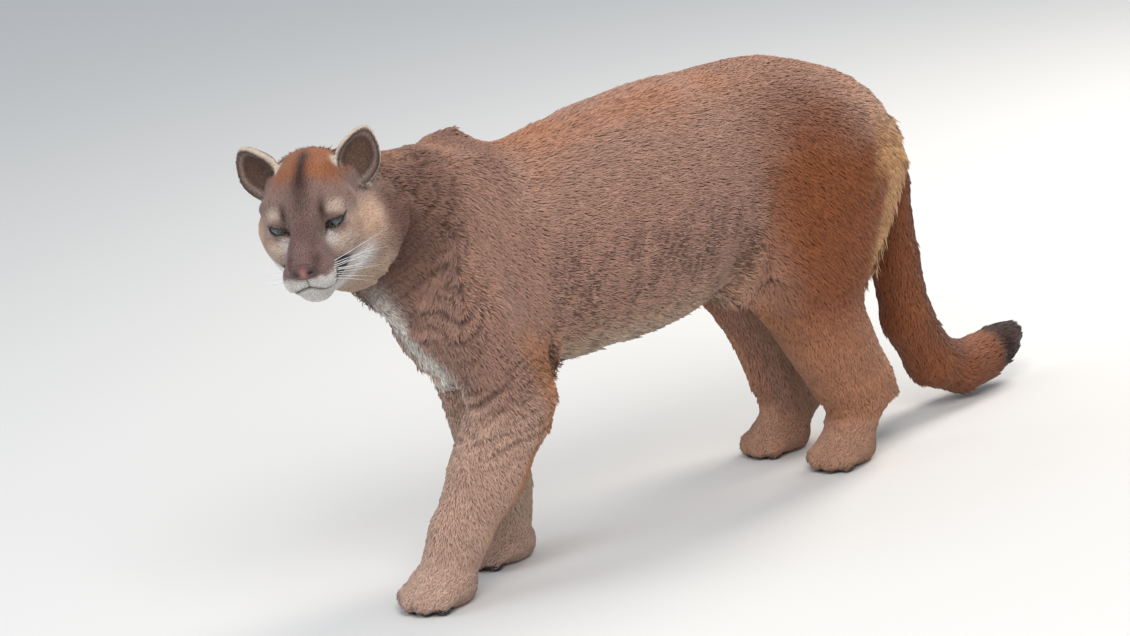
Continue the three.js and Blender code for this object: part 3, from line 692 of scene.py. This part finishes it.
def paintHead(colour, points, on, patch):
    q = inHead(points)
    x, y, z = q.T
    fine = valueNoise(q / 4.5, 15) - 0.5
    mirror = np.stack((x, np.abs(y), z), axis=1) + fine[:, None] * 3.5
    stripe = bump(y, 9 + 6 * ramp(x, 30, 70)) * ramp(z, 36, 54) * ramp(x, -35, 5)
    lips = ramp(z + 0.1 * np.abs(y) + 5 * fine, -20, -30) * ramp(x, 112, 124)
    behindPad = ramp(np.hypot((mirror[:, 0] - 102) / 31, (mirror[:, 2] + 42) / 17), 1.12, 0.86)
    behindPad *= ramp(mirror[:, 1], 26, 33)
    philtrum = bump(y - 1, 1.3) * ramp(z, -43, -41) * ramp(-z, 26, 29) * (x > 138)
    rows = bump(((z + 24) / 5.5) % 1 - 0.5, 0.16) * ramp(x, 112, 120) * ramp(x, 146, 138)
    layers = [
        ("crown", ramp(z + patch * 14, 50, 80) * ramp(x, 66, 30) * 0.9),
        ("cheek", spot(mirror, (28, 78, -16), (52, 44, 40))),
        ("pale", spot(mirror, (64, 62, 20), (18, 18, 16)) * 0.4),
        ("muzzle", ramp(x, 92, 112) * ramp(z, -38, -24) * 0.8),
        # Painted shade under and behind the cheeks, in the neck's dark colour.
        ("neck", ramp(x, 8, -30) * ramp(z, 40, 0)),
        # Pale above the eyes, white under them and behind the mouth.
        ("dusk", spot(mirror, (104, 0, 32), (34, 20, 26)) * 0.5),
        ("pale", spot(mirror, (70, 43, 40), (15, 16, 9)) * 0.75),
        ("pale", spot(mirror, (82, 46, -12), (24, 18, 18)) * 0.7),
        ("white", spot(mirror, (84, 32, 2), (16, 9, 14)) * 0.55),
        ("white", spot(mirror, (52, 58, -50), (36, 26, 22)) * 0.95),
        # Dark stripe down the forehead, marks over the inner corners of the eyes, and dusky spots.
        ("stripe", stripe * (0.95 - 0.35 * ramp(x, 50, 80))),
        ("stripe", bump(np.abs(y) - 26, 5.2) * bump(z - 41, 13) * (x > 40) * 0.9),
        ("dusk", bump(np.abs(y) - 15, 5) * bump(z - 12, 12) * ramp(x, 100, 118) * 0.45),
        ("dusk", spot(mirror, (146, 20, -3), (16, 8, 9)) * 0.85),
        ("dusk", spot(mirror, (58, 68, 6), (12, 9, 18)) * 0.3),
        # White upper lips and chin, black behind the whisker pads, and the line of the mouth.
        ("white", lips),
        # The chin and the underside of the jaw take the white at part strength, greyer: painted shade
        # under the chin.
        ("white", ramp(z, -46, -54) * ramp(x, 70, 96) * 0.85),
        ("white", ramp(z, -60, -72) * ramp(x, 10, 60) * 0.8),
        ("belly", ramp(z, -54, -80) * ramp(x, 60, 30) * ramp(x, -20, 10) * 0.8),
        ("dark", behindPad * 0.95),
        ("dark", philtrum * 0.85),
        ("dusk", rows * bump(z + 33, 11) * (np.abs(y) > 14) * 0.55),
        ("dark", bump(mouthGap(q), 2.3)),
    ]
    # Dark lids, drawn out at the outer corner, and the tear line from the inner one.
    half = face["lidHalf"]
    for side in (1, -1):
        past, outward, height, ahead, distance = pastLids(q, side)
        front = (ahead > 0) * (distance < 36)
        rim = bump(np.maximum(past, 0), np.where(height > 0, 2.1, 1.5)) * (past > -9)
        flick = bump(height - 0.10 * (outward - half) - 0.5, 1.5) * ramp(outward, half + 9, half + 2)
        flick *= outward > half - 3
        tear = bump(height + 2 + 0.9 * (-outward - half), 2.6) * ramp(-outward, half - 3, half)
        tear *= ramp(-outward, half + 12, half + 5)
        layers.append(("dark", np.clip(rim + flick + tear, 0, 1) * front * 0.95))
    tone = layered(evenly(linear("face"), len(points)), layers)
    colour = mix(colour, tone, np.clip(on["head"] * 1.5, 0, 1))
    for side in (1, -1):
        share = np.clip(on["ear"] * 2.2, 0, 1) * (y * side > 0)
        facing, rim = earPlace(q, side)
        layers = (
            ("earInside", ramp(facing, -6, 2)),
            ("pale", ramp(facing, -6, 2) * bump(rim - 0.74, 0.1) * 0.4),
            ("earRim", ramp(rim, 0.87, 0.97) * ramp(facing, -9, -3)),
        )
        tone = layered(evenly(linear("earBack"), len(points)), layers)
        colour = mix(colour, tone, share)
    return colour


def earPlace(q, side):
    # How far in front of an ear's leaf each point is, and how near the leaf's rim, where 1 is on it.
    middle, facing, upright, aside = earFrame(side)
    r = q - middle
    tall = (r @ upright) / (earLook["height"] / 2)
    narrowing = 1 - 0.3 * np.maximum(tall, 0) ** 1.5
    across = (r @ aside) / (earLook["width"] / 2 * narrowing)
    lean = -0.14 * earLook["height"] * tall * np.abs(tall)
    return r @ facing - lean, np.hypot(tall, across) * ramp(tall, -1.0, -0.7)


# Locks of fur: each has four corners and a bend, is sunk by its root and lies along the coat.
lockSettings = {
    "total": 340000,
    "perPiece": 48000,
    "seed": 5,
    "sunk": 0.001,
    "bendDown": 0.7,
    "patch": 0.003,
    "thickness": 0.35,
    "shades": (0.8, 0.99, 0.99, 1.1),
    "partingShade": 0.66,
    "bareNose": ((156, 0, -16), (16, 21, 13)),
}


def sampleSkin(skin, weights, lie):
    rng = np.random.default_rng(lockSettings["seed"])
    mesh = skin.data
    mesh.calc_loop_triangles()
    corners = readArray(mesh.loop_triangles, "vertices", 3, np.int64)
    loops = readArray(mesh.loop_triangles, "loops", 3, np.int64)
    uv = readArray(mesh.uv_layers[0].data, "uv", 2)
    points, normals = meshArrays(mesh)
    density = coatValue(weights, "density") * lockCover(points, normals)
    a, b, c = points[corners[:, 0]], points[corners[:, 1]], points[corners[:, 2]]
    area = 0.5 * np.linalg.norm(np.cross(b - a, c - a), axis=1)
    expected = area * density[corners].mean(axis=1)
    count = lockSettings["total"]
    perUnit = round(count / float(expected.sum()), 1)
    print("coat area", round(float(area.sum()), 3), "locks per unit", perUnit)
    spots = (np.arange(count) + rng.random(count)) / count * expected.sum()
    chosen = np.searchsorted(np.cumsum(expected), spots).clip(0, len(corners) - 1)
    r1, r2 = np.sqrt(rng.random(count)), rng.random(count)
    shares = np.stack((1 - r1, r1 * (1 - r2), r1 * r2), axis=1)

    def between(values):
        return (values[corners[chosen]] * shares[..., None]).sum(axis=1)

    return {
        "root": between(points),
        "normal": unit(between(normals)),
        "lie": unit(between(lie)),
        "weights": between(weights),
        "uv": (uv[loops[chosen]] * shares[..., None]).sum(axis=1),
        "random": rng.random((count, 6)),
    }


def lockCover(points, normals):
    # Where no fur grows: between the lids, in the mouth, on the nose and on the soles.
    q = inHead(points)
    cover = np.ones(len(points))
    for side in (1, -1):
        past, _, _, ahead, distance = pastLids(q, side)
        bare = (ahead > 0) & (distance < place["eyeRadius"] + 10)
        cover *= 1 - bare * ramp(past, 2.4, 1.2)
    cover *= ramp(mouthGap(q), 1.3, 2.6)
    centre, size = (np.array(values) for values in lockSettings["bareNose"])
    nose = (q - centre) / size
    cover *= ramp(np.linalg.norm(nose, axis=1), 0.95, 1.08)
    sole = (points[:, 2] < 0.005) & (normals[:, 2] < -0.6)
    return np.where(sole, 0, cover)


def growLocks(sample, colour):
    chance = sample["random"]
    start, weights = sample["root"], sample["weights"]
    n, t = sample["normal"], sample["lie"]
    q = inHead(start)
    length = coatValue(weights, "length") * (0.75 + 0.5 * chance[:, 0]) * mm
    width = coatValue(weights, "width") * (0.75 + 0.5 * chance[:, 1]) * mm
    lift = np.radians(coatValue(weights, "lift") * (0.5 + 1.0 * chance[:, 2]))
    behind, belly = longHair(start, n, weights)
    length *= 1 + 0.75 * behind + 0.5 * belly
    lift += np.radians(14) * behind
    # Short hair round the eyes, nose and mouth, and shortest where the coat parts.
    muzzle = ramp(q[:, 0], 66, 120) * (q[:, 2] < 60) * (np.abs(q[:, 1]) < 70) * (q[:, 2] > -90)
    length *= 1 - 0.5 * muzzle
    width *= 1 - 0.25 * muzzle
    parted = crinkle(start, weights)
    length *= 1 - 0.35 * parted
    # Close fur in the pocket behind the elbow and over the shoulder blades.
    body = np.abs(bodyPlace(start))
    close = spot(body, (222, 95, 318), (42, 45, 45)) + spot(body, (235, 15, 650), (65, 50, 45))
    length *= 1 - 0.55 * np.clip(close, 0, 1)
    lift *= 1 - 0.6 * np.clip(close, 0, 1)
    # Down the back of the thigh the hair hangs.
    t = unit(t + np.array((0, 0, -0.9)) * (behind + 0.4 * belly)[:, None])
    t = unit(t - n * (t * n).sum(axis=1, keepdims=True))
    turn = (chance[:, 3] - 0.5) * 0.55
    s = np.cross(n, t)
    t = t * np.cos(turn)[:, None] + s * np.sin(turn)[:, None]
    s = np.cross(n, t)
    rise = np.sin(lift)[:, None]
    root = start - n * lockSettings["sunk"]
    out = t * np.cos(lift)[:, None] + n * rise
    flat = t + n * rise * (1 - lockSettings["bendDown"])
    middle = root + out * (length * 0.45)[:, None] + n * lockSettings["sunk"]
    tip = middle + unit(flat) * (length * 0.55)[:, None]
    tip += s * ((chance[:, 4] - 0.5) * 0.3 * length)[:, None]
    half = (width * 0.5)[:, None]
    ridge = n * half * 2 * lockSettings["thickness"]
    verts = np.stack((root, middle + s * half + ridge, middle - s * half + ridge, tip), axis=1)
    verts = insideBox(verts, 0.2 * mm)
    soft = np.stack((n, n * 0.85 + s * 0.5, n * 0.85 - s * 0.5, n * 0.9 + t * 0.35), axis=1)
    tint = colour * (0.9 + 0.2 * chance[:, 5])[:, None]
    tints = np.stack([tint * value for value in lockSettings["shades"]], axis=1)
    dark = crinkle(verts.reshape(-1, 3), np.repeat(weights, 4, axis=0)).reshape(-1, 4)
    tints *= 1 - lockSettings["partingShade"] * dark[..., None]
    return verts, tints, unit(soft)


lockFaces = np.array(((0, 2, 1), (3, 1, 2), (0, 1, 3), (0, 3, 2)))
# Where a lock's corners lie in its small patch of the map, from its middle.
lockCorners = np.array(((0, 0), (0.1, 0.6), (0.6, 0.1), (1, 1))) - 0.5


def makePiece(name, verts, tints, normals, uv):
    count, each = verts.shape[:2]
    faces = (np.arange(count)[:, None, None] * each + lockFaces[None]).reshape(-1, 3)
    mesh = bpy.data.meshes.new(name)
    mesh.vertices.add(count * each)
    mesh.vertices.foreach_set("co", verts.reshape(-1).astype(np.float32))
    mesh.loops.add(faces.size)
    mesh.loops.foreach_set("vertex_index", faces.reshape(-1).astype(np.int32))
    mesh.polygons.add(len(faces))
    mesh.polygons.foreach_set("loop_start", np.arange(0, faces.size, 3, dtype=np.int32))
    mesh.update(calc_edges=True)
    paintVertices(mesh, tints.reshape(-1, 3))
    layer = mesh.uv_layers.new(name="OFBake")
    spread = uv[:, None, :] + lockCorners[None] * lockSettings["patch"]
    spread = spread.reshape(-1, 2)[faces.reshape(-1)]
    layer.data.foreach_set("uv", np.clip(spread, 0, 1).astype(np.float32).reshape(-1))
    piece = addToScene(bpy.data.objects.new(name, mesh))
    mesh.materials.append(materials["coat"])
    mesh.polygons.foreach_set("use_smooth", np.ones(len(faces), bool))
    mesh.normals_split_custom_set_from_vertices(normals.reshape(-1, 3).astype(np.float32))
    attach(piece, "root")


def paintVertices(mesh, colours):
    attribute = mesh.color_attributes.new("tint", "FLOAT_COLOR", "POINT")
    values = np.ones((len(mesh.vertices), 4), np.float32)
    values[:, :3] = colours
    attribute.data.foreach_set("color", values.reshape(-1))


# Materials. The coat takes its colour from the tint that skin and locks carry, broken up by fine noise.
def setInputs(node, values):
    for name, value in values.items():
        node.inputs[name].default_value = value


def variationGroup():
    group = bpy.data.node_groups.new("coatVariation", "ShaderNodeTree")
    for way, socket, kind in (
        ("INPUT", "Color", "Color"),
        ("INPUT", "Scale", "Float"),
        ("INPUT", "Strength", "Float"),
        ("OUTPUT", "Color", "Color"),
        ("OUTPUT", "Height", "Float"),
    ):
        group.interface.new_socket(socket, in_out=way, socket_type="NodeSocket" + kind)
    tree = group.nodes
    inside, outside = tree.new("NodeGroupInput"), tree.new("NodeGroupOutput")
    where = tree.new("ShaderNodeTexCoord")
    noise = tree.new("ShaderNodeTexNoise")
    setInputs(noise, {"Detail": 5, "Roughness": 0.65})
    darker = tree.new("ShaderNodeMapRange")
    setInputs(darker, {"From Min": 0.3, "From Max": 0.7})
    # The darkest shade is one less the strength.
    darkest = tree.new("ShaderNodeMath")
    darkest.operation = "MULTIPLY_ADD"
    setInputs(darkest, {1: -1, 2: 1})
    scaled = tree.new("ShaderNodeVectorMath")
    scaled.operation = "SCALE"
    link = group.links.new
    link(where.outputs["Object"], noise.inputs["Vector"])
    link(inside.outputs["Scale"], noise.inputs["Scale"])
    link(noise.outputs["Fac"], darker.inputs["Value"])
    link(inside.outputs["Strength"], darkest.inputs[0])
    link(darkest.outputs["Value"], darker.inputs["To Min"])
    link(inside.outputs["Color"], scaled.inputs[0])
    link(darker.outputs["Result"], scaled.inputs["Scale"])
    link(scaled.outputs["Vector"], outside.inputs["Color"])
    link(noise.outputs["Fac"], outside.inputs["Height"])
    return group


variation = variationGroup()
materialLooks = {
    "coat": dict(roughness=0.72, scale=900, strength=0.12, sheen=0.12, specular=0.25),
    "underCoat": dict(roughness=0.85, scale=420, strength=0.45, bumpHeight=0.0015, specular=0.15),
    "wetEye": dict(roughness=0.12, scale=60, strength=0.1, coat=1.0),
    "darkBareSkin": dict(roughness=0.42, scale=700, strength=0.3, bumpHeight=0.0003),
    "noseLeather": dict(roughness=0.36, scale=1100, strength=0.35, bumpHeight=0.0004, coat=0.15),
    "clawHorn": dict(roughness=0.3, scale=300, strength=0.4),
    "whiskerHair": dict(roughness=0.35, scale=50, strength=0.1),
}


def tintedMaterial(name, roughness, scale, strength, bumpHeight=0.0, coat=0.0, specular=0.5, sheen=0.0):
    material = bpy.data.materials.new(name)
    material.use_nodes = True
    tree = material.node_tree
    shader = tree.nodes["Principled BSDF"]
    setInputs(shader, {"Roughness": roughness, "Specular IOR Level": specular})
    setInputs(shader, {"Coat Weight": coat, "Coat Roughness": 0.03})
    setInputs(shader, {"Sheen Weight": sheen, "Sheen Roughness": 0.5})
    tint = tree.nodes.new("ShaderNodeAttribute")
    tint.attribute_name = "tint"
    vary = tree.nodes.new("ShaderNodeGroup")
    vary.node_tree = variation
    setInputs(vary, {"Scale": scale, "Strength": strength})
    tree.links.new(tint.outputs["Color"], vary.inputs["Color"])
    tree.links.new(vary.outputs["Color"], shader.inputs["Base Color"])
    if bumpHeight:
        raised = tree.nodes.new("ShaderNodeBump")
        setInputs(raised, {"Strength": 0.6, "Distance": bumpHeight})
        tree.links.new(vary.outputs["Height"], raised.inputs["Height"])
        tree.links.new(raised.outputs["Normal"], shader.inputs["Normal"])
    return material


def finish(piece, material, tints):
    points, _ = meshArrays(piece.data)
    setPoints(piece.data, insideBox(points, 0.1 * mm))
    piece.data.materials.clear()
    piece.data.materials.append(materials[material])
    paintVertices(piece.data, tints)
    piece.data.polygons.foreach_set("use_smooth", np.ones(len(piece.data.polygons), bool))
    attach(piece, "root")


# Eyes: a ball with a domed cornea, an iris of fine spokes and a round pupil.
eyeLook = {
    "iris": 8.2,
    "pupil": 3.4,
    "dome": 1.1,
    "gazeOut": 1,
    "gazeDown": 3,
    "irisColour": (0.050, 0.060, 0.060),
    "irisMiddle": (0.10, 0.09, 0.06),
    "irisRim": (0.02, 0.02, 0.015),
    "pupilColour": (0.004, 0.004, 0.004),
    "white": (0.045, 0.032, 0.028),
}


def makeEye(name, side):
    centre = np.array(place["eye"]) * (1, side, 1)
    bpy.ops.mesh.primitive_uv_sphere_add(segments=96, ring_count=64, radius=1)
    eye = bpy.context.view_layer.objects.active
    eye.name = f"eyeball_{name}"
    ball, _ = meshArrays(eye.data)
    # The sphere's pole looks ahead, so that the iris is round.
    ball = ball[:, [2, 0, 1]]
    out, down = math.radians(eyeLook["gazeOut"] * side), math.radians(eyeLook["gazeDown"])
    radius = place["eyeRadius"] - 0.2
    fromAxis = np.arccos(np.clip(ball[:, 0], -1, 1)) * radius
    angle = np.arctan2(ball[:, 2], ball[:, 1])
    dome = eyeLook["dome"] * ramp(fromAxis, eyeLook["iris"] + 1.5, 2)
    gaze = np.array(Matrix.Rotation(out, 3, "Z") @ Matrix.Rotation(down, 3, "Y"))
    local = (ball * (radius + dome)[:, None]) @ gaze.T + centre
    setPoints(eye.data, outOfHead(local))
    spokes = 0.5 + 0.5 * np.sin(angle * 37 + 2 * np.sin(angle * 11)) * np.sin(angle * 23 + 1.3)
    tint = np.array(eyeLook["irisColour"])[None] * (0.75 + 0.5 * spokes)[:, None]
    iris, pupil = eyeLook["iris"], eyeLook["pupil"]
    for key, share in (
        ("irisMiddle", 0.5 * ramp(fromAxis, pupil + 2.6, pupil + 0.4)),
        ("irisRim", ramp(fromAxis, iris - 2.2, iris)),
        ("pupilColour", ramp(fromAxis, pupil + 0.35, pupil - 0.35)),
        ("white", ramp(fromAxis, iris - 0.4, iris + 0.8)),
    ):
        tint = mix(tint, np.array(eyeLook[key]), share)
    finish(eye, "wetEye", tint)
    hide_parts(f"eye_{name}")


# Bare dark rims of the lids, a tapering roll round the opening.
lidLook = {"roll": 0.85, "steps": 40, "proud": 0.8, "tint": 0.012}


def makeLidRims():
    rims = []
    radius = place["eyeRadius"] + lidLook["proud"]
    for side in (1, -1):
        centre, gaze, across, up = eyeFrame(side)
        spots, radii = [], []
        for i in range(lidLook["steps"] * 2):
            angle = math.pi * i / lidLook["steps"]
            outward = face["lidHalf"] * math.cos(angle)
            upper, lower = lidEdges(np.array([outward]))
            height = float(upper[0]) if angle < math.pi else -float(lower[0])
            depth = math.sqrt(max(radius**2 - outward**2 - height**2, 9))
            spots.append(centre + across * outward * side + up * height + gaze * depth)
            radii.append(1.0 + 0.5 * (angle < math.pi) * math.sin(angle))
        rims.append(tube("lidRim", spots, radii, lidLook["roll"], 2, True))
    finish(meshOf(rims, "lid_rims"), "darkBareSkin", lidLook["tint"])


# Nose: bare pebbled skin, pink in the middle and dark at the edges.
noseLook = {
    "voxel": 0.0009,
    "rounds": 5,
    "proud": 0.5,
    "pebble": 0.35,
    "pink": (0.42, 0.17, 0.14),
    "edge": (0.07, 0.035, 0.03),
    "nostril": (160, 9.5, -16),
    # Painted shade for the nostril openings.
    "nostrilShade": (0.01, 0.008, 0.008),
}


def makeNose():
    piece = bareCopy(nodes["nose"])
    piece.name = "nose_leather"
    selectOnly(piece)
    remeshed(piece, noseLook["voxel"])
    points, _ = meshArrays(piece.data)
    points = neighbourMean(piece.data, points, noseLook["rounds"])
    setPoints(piece.data, points)
    points, normals = meshArrays(piece.data)
    q = inHead(points)
    pebble = valueNoise(q * 1.1, 3) - 0.5
    raised = (noseLook["proud"] + noseLook["pebble"] * pebble) * mm
    setPoints(piece.data, points + normals * raised[:, None])
    middle = bump(q[:, 1], 8.5) * ramp(q[:, 0], 150, 158) * bump(q[:, 2] - place["nose"][2] + 1, 9)
    tints = mix(evenly(noseLook["edge"], len(q)), np.array(noseLook["pink"]), middle)
    # The nostril openings are not cut but painted near black: painted shade in the holes.
    hole = np.zeros(len(q))
    for side in (1, -1):
        nostril = np.array(noseLook["nostril"]) * (1, side, 1)
        hole = np.maximum(hole, bump(np.linalg.norm(q - nostril, axis=1), 5))
    tints = mix(tints, np.array(noseLook["nostrilShade"]), np.clip(hole * 1.2, 0, 1))
    finish(piece, "noseLeather", tints)
    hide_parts("nose")


# Whiskers: stiff pale hairs in rows on each side of the muzzle.
whiskerLook = {
    "rows": 3,
    "inRow": 4,
    "length": (80, 125),
    "thick": 0.48,
    "taper": 0.85,
    "steps": 9,
    "seed": 8,
    "tint": 0.85,
}


def makeWhiskers():
    rng = np.random.default_rng(whiskerLook["seed"])
    steps = whiskerLook["steps"]
    shares = [i / steps for i in range(steps + 1)]
    radii = [1 - whiskerLook["taper"] * along for along in shares]
    hairs = []
    for side in (1, -1):
        for row in range(whiskerLook["rows"]):
            for i in range(whiskerLook["inRow"]):
                root = np.array((136 - 6.5 * i, (21 + 2.6 * i) * side, -26 - 5.5 * row + 0.6 * i))
                spread = np.array((-0.25 - 0.12 * i, (1.0 - 0.03 * i) * side, 0.12 - 0.2 * row))
                spread = unit(spread + (rng.random(3) - 0.5) * 0.22)
                droop = np.array((-0.34, -0.1 * side, -0.16 + 0.3 * (rng.random() - 0.5)))
                long = rng.uniform(*whiskerLook["length"]) * (0.62 + 0.1 * i)
                spots = [root + spread * (long * along) + droop * (long * along**2) for along in shares]
                hairs.append(tube("whisker", spots, radii, whiskerLook["thick"], 1, False))
    finish(meshOf(hairs, "whiskers"), "whiskerHair", whiskerLook["tint"])


# Paws: claws that just show, and the pads that carry the weight.
paws = {
    "forepaw_left": dict(at=(420, 44), heading=6, scale=1.06, width=1.0),
    "forepaw_right": dict(at=(238, -46), heading=-4, scale=1.06, width=1.0),
    "hindpaw_left": dict(at=(-342, 82), heading=5, scale=0.98, width=0.93),
    "hindpaw_right": dict(at=(-345, -74), heading=-5, scale=0.98, width=0.93),
}
toes = ((-31, 36), (-11.5, 49), (11.5, 49), (31, 36))
padLook = {
    "toe": (11, 8.5, 6),
    "palm": (19, 24, 8),
    "padTint": 0.03,
    "clawLength": 9,
    "clawRadius": 2.3,
    "clawTint": 0.16,
}


def pawMatrix(paw):
    turn = Matrix.Rotation(math.radians(paw["heading"]), 4, "Z")
    ahead = Matrix.Diagonal((-1, -1, 1, 1))
    return np.array(Matrix.Translation(at(*paw["at"], 0)) @ ahead @ turn @ Matrix.Scale(mm, 4))


def putOnPaw(piece, local, matrix):
    setPoints(piece.data, local @ matrix[:3, :3].T + matrix[:3, 3])
    return piece


def makePads():
    pads, claws = [], []
    for paw in paws.values():
        matrix = pawMatrix(paw)
        long, wide = paw["scale"], paw["scale"] * paw["width"]
        lumps = [((tip * long - 2, left * wide * 1.1, 6.2), padLook["toe"]) for left, tip in toes]
        lumps += [((-6 * long, left * wide, 8.2), padLook["palm"]) for left in (-9, 9)]
        for centre, size in lumps:
            bpy.ops.mesh.primitive_uv_sphere_add(segments=24, ring_count=14, radius=1)
            pad = bpy.context.view_layer.objects.active
            points, _ = meshArrays(pad.data)
            local = points * np.array(size) + np.array(centre)
            # Pads are flat where they stand.
            local[:, 2] = np.maximum(local[:, 2], 0.1)
            pads.append(putOnPaw(pad, local, matrix))
        for left, tip in toes:
            bpy.ops.mesh.primitive_cone_add(vertices=10, radius1=1, radius2=0.12, depth=2)
            claw = bpy.context.view_layer.objects.active
            onWholeMesh(bpy.ops.mesh.subdivide, number_cuts=3)
            points, _ = meshArrays(claw.data)
            along = (points[:, 2] + 1) / 2
            x = tip * long + 10 + along * padLook["clawLength"]
            y = left * wide * 1.12 + points[:, 0] * padLook["clawRadius"] * 0.6
            z = 20 * long - 7 * along**2 + points[:, 1] * padLook["clawRadius"]
            claws.append(putOnPaw(claw, np.stack((x, y, z), axis=1), matrix))
    finish(joined(pads, "paw_pads"), "darkBareSkin", padLook["padTint"])
    finish(joined(claws, "claws"), "clawHorn", padLook["clawTint"])


# Plain pale floor, soft lamps, and a camera eight metres off at the photograph's angle.
studio = {
    "floor": (0.72, 0.71, 0.69),
    "air": (0.84, 0.91, 1.0),
    "airStrength": 0.62,
    "lamps": (
        ("key", (-1.6, -2.4, 3.2), 2.2, 95, (1.0, 0.97, 0.94)),
        ("rim", (2.8, 0.4, 2.4), 1.6, 85, (1.0, 0.93, 0.84)),
        ("fill", (-3.0, 1.4, 1.8), 2.4, 30, (0.9, 0.95, 1.0)),
    ),
    "lampAim": (0, 0, 0.35),
    "target": (0, 122, 300),
    "azimuth": -38,
    "elevation": 14,
    "roll": 8,
    "distance": 8.0,
    "focalPixels": 5333,
    "frameWidth": 1130,
    "sensor": 36,
}


def makeStudio():
    bpy.ops.mesh.primitive_plane_add(size=60, location=(0, 0, 0))
    floor = bpy.context.view_layer.objects.active
    floor.name = "floor"
    material = bpy.data.materials.new("paleFloor")
    material.use_nodes = True
    shader = material.node_tree.nodes["Principled BSDF"]
    setInputs(shader, {"Base Color": (*studio["floor"], 1), "Roughness": 0.9})
    floor.data.materials.append(material)
    world = bpy.data.worlds.new("studioAir")
    world.use_nodes = True
    air = world.node_tree.nodes["Background"]
    setInputs(air, {"Color": (*studio["air"], 1), "Strength": studio["airStrength"]})
    bpy.context.scene.world = world
    for name, where, size, power, colour in studio["lamps"]:
        lamp = bpy.data.lights.new(name, "AREA")
        lamp.shape = "DISK"
        lamp.size = size
        lamp.energy = power
        lamp.color = colour
        holder = addToScene(bpy.data.objects.new(name, lamp))
        holder.location = where
        aim = Vector(studio["lampAim"]) - Vector(where)
        holder.rotation_euler = aim.to_track_quat("-Z", "Y").to_euler()
    bpy.context.scene.view_settings.view_transform = "Standard"


def makeCamera():
    azimuth, elevation, roll = (math.radians(studio[key]) for key in ("azimuth", "elevation", "roll"))
    reach = math.cos(elevation)
    back = Vector((math.sin(azimuth) * reach, -math.cos(azimuth) * reach, math.sin(elevation)))
    level = Vector((math.cos(azimuth), math.sin(azimuth), 0))
    upright = back.cross(level)
    right = level * math.cos(roll) - upright * math.sin(roll)
    up = level * math.sin(roll) + upright * math.cos(roll)
    x, y = place["shift"]
    target = Vector(studio["target"]) * mm + Vector((x, y, 0)) * mm
    camera = addToScene(bpy.data.objects.new("camera", bpy.data.cameras.new("camera")))
    turn = Matrix((right, up, back)).transposed().to_4x4()
    camera.matrix_world = Matrix.Translation(target + back * studio["distance"]) @ turn
    camera.data.sensor_width = studio["sensor"]
    camera.data.lens = studio["focalPixels"] / studio["frameWidth"] * studio["sensor"]
    camera.data.clip_end = 100
    bpy.context.scene.camera = camera


def unwrap(skin):
    selectOnly(skin)
    onWholeMesh(bpy.ops.uv.smart_project, angle_limit=1.1, island_margin=0.001)
    skin.data.uv_layers[0].name = "OFBake"


makeStudio()
makeCamera()
materials = {name: tintedMaterial(name, **look) for name, look in materialLooks.items()}

skin = makeSkin()
weights = regionWeights(skin)
shapeSkin(skin, weights)
lie = lieField(skin, weights)
unwrap(skin)
points, normals = meshArrays(skin.data)
tint = coatTint(points, normals, weights)
parted = skinSettings["partingShade"] * crinkle(points, weights)[:, None]
finish(skin, "underCoat", tint * (skinSettings["shade"] - parted))
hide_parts(*[name for name in nodes if not name.startswith(("eye", "nose"))])
print("skin done")

sample = sampleSkin(skin, weights, lie)
colour = coatTint(sample["root"], sample["normal"], sample["weights"])
colour *= 0.92 + 0.16 * valueNoise(sample["root"] * 90, 21)[:, None]
verts, tints, soft = growLocks(sample, colour)
order = np.argsort(sample["root"][:, 0], kind="stable")
pieceCount = math.ceil(len(order) / lockSettings["perPiece"])
for number, chosen in enumerate(np.array_split(order, pieceCount)):
    makePiece(f"coat_{number + 1}", verts[chosen], tints[chosen], soft[chosen], sample["uv"][chosen])
print("locks", len(order), "in", pieceCount, "pieces")

for name, side in (("left", 1), ("right", -1)):
    makeEye(name, side)
makeLidRims()
makeNose()
makeWhiskers()
makePads()
print("head and paw details done")
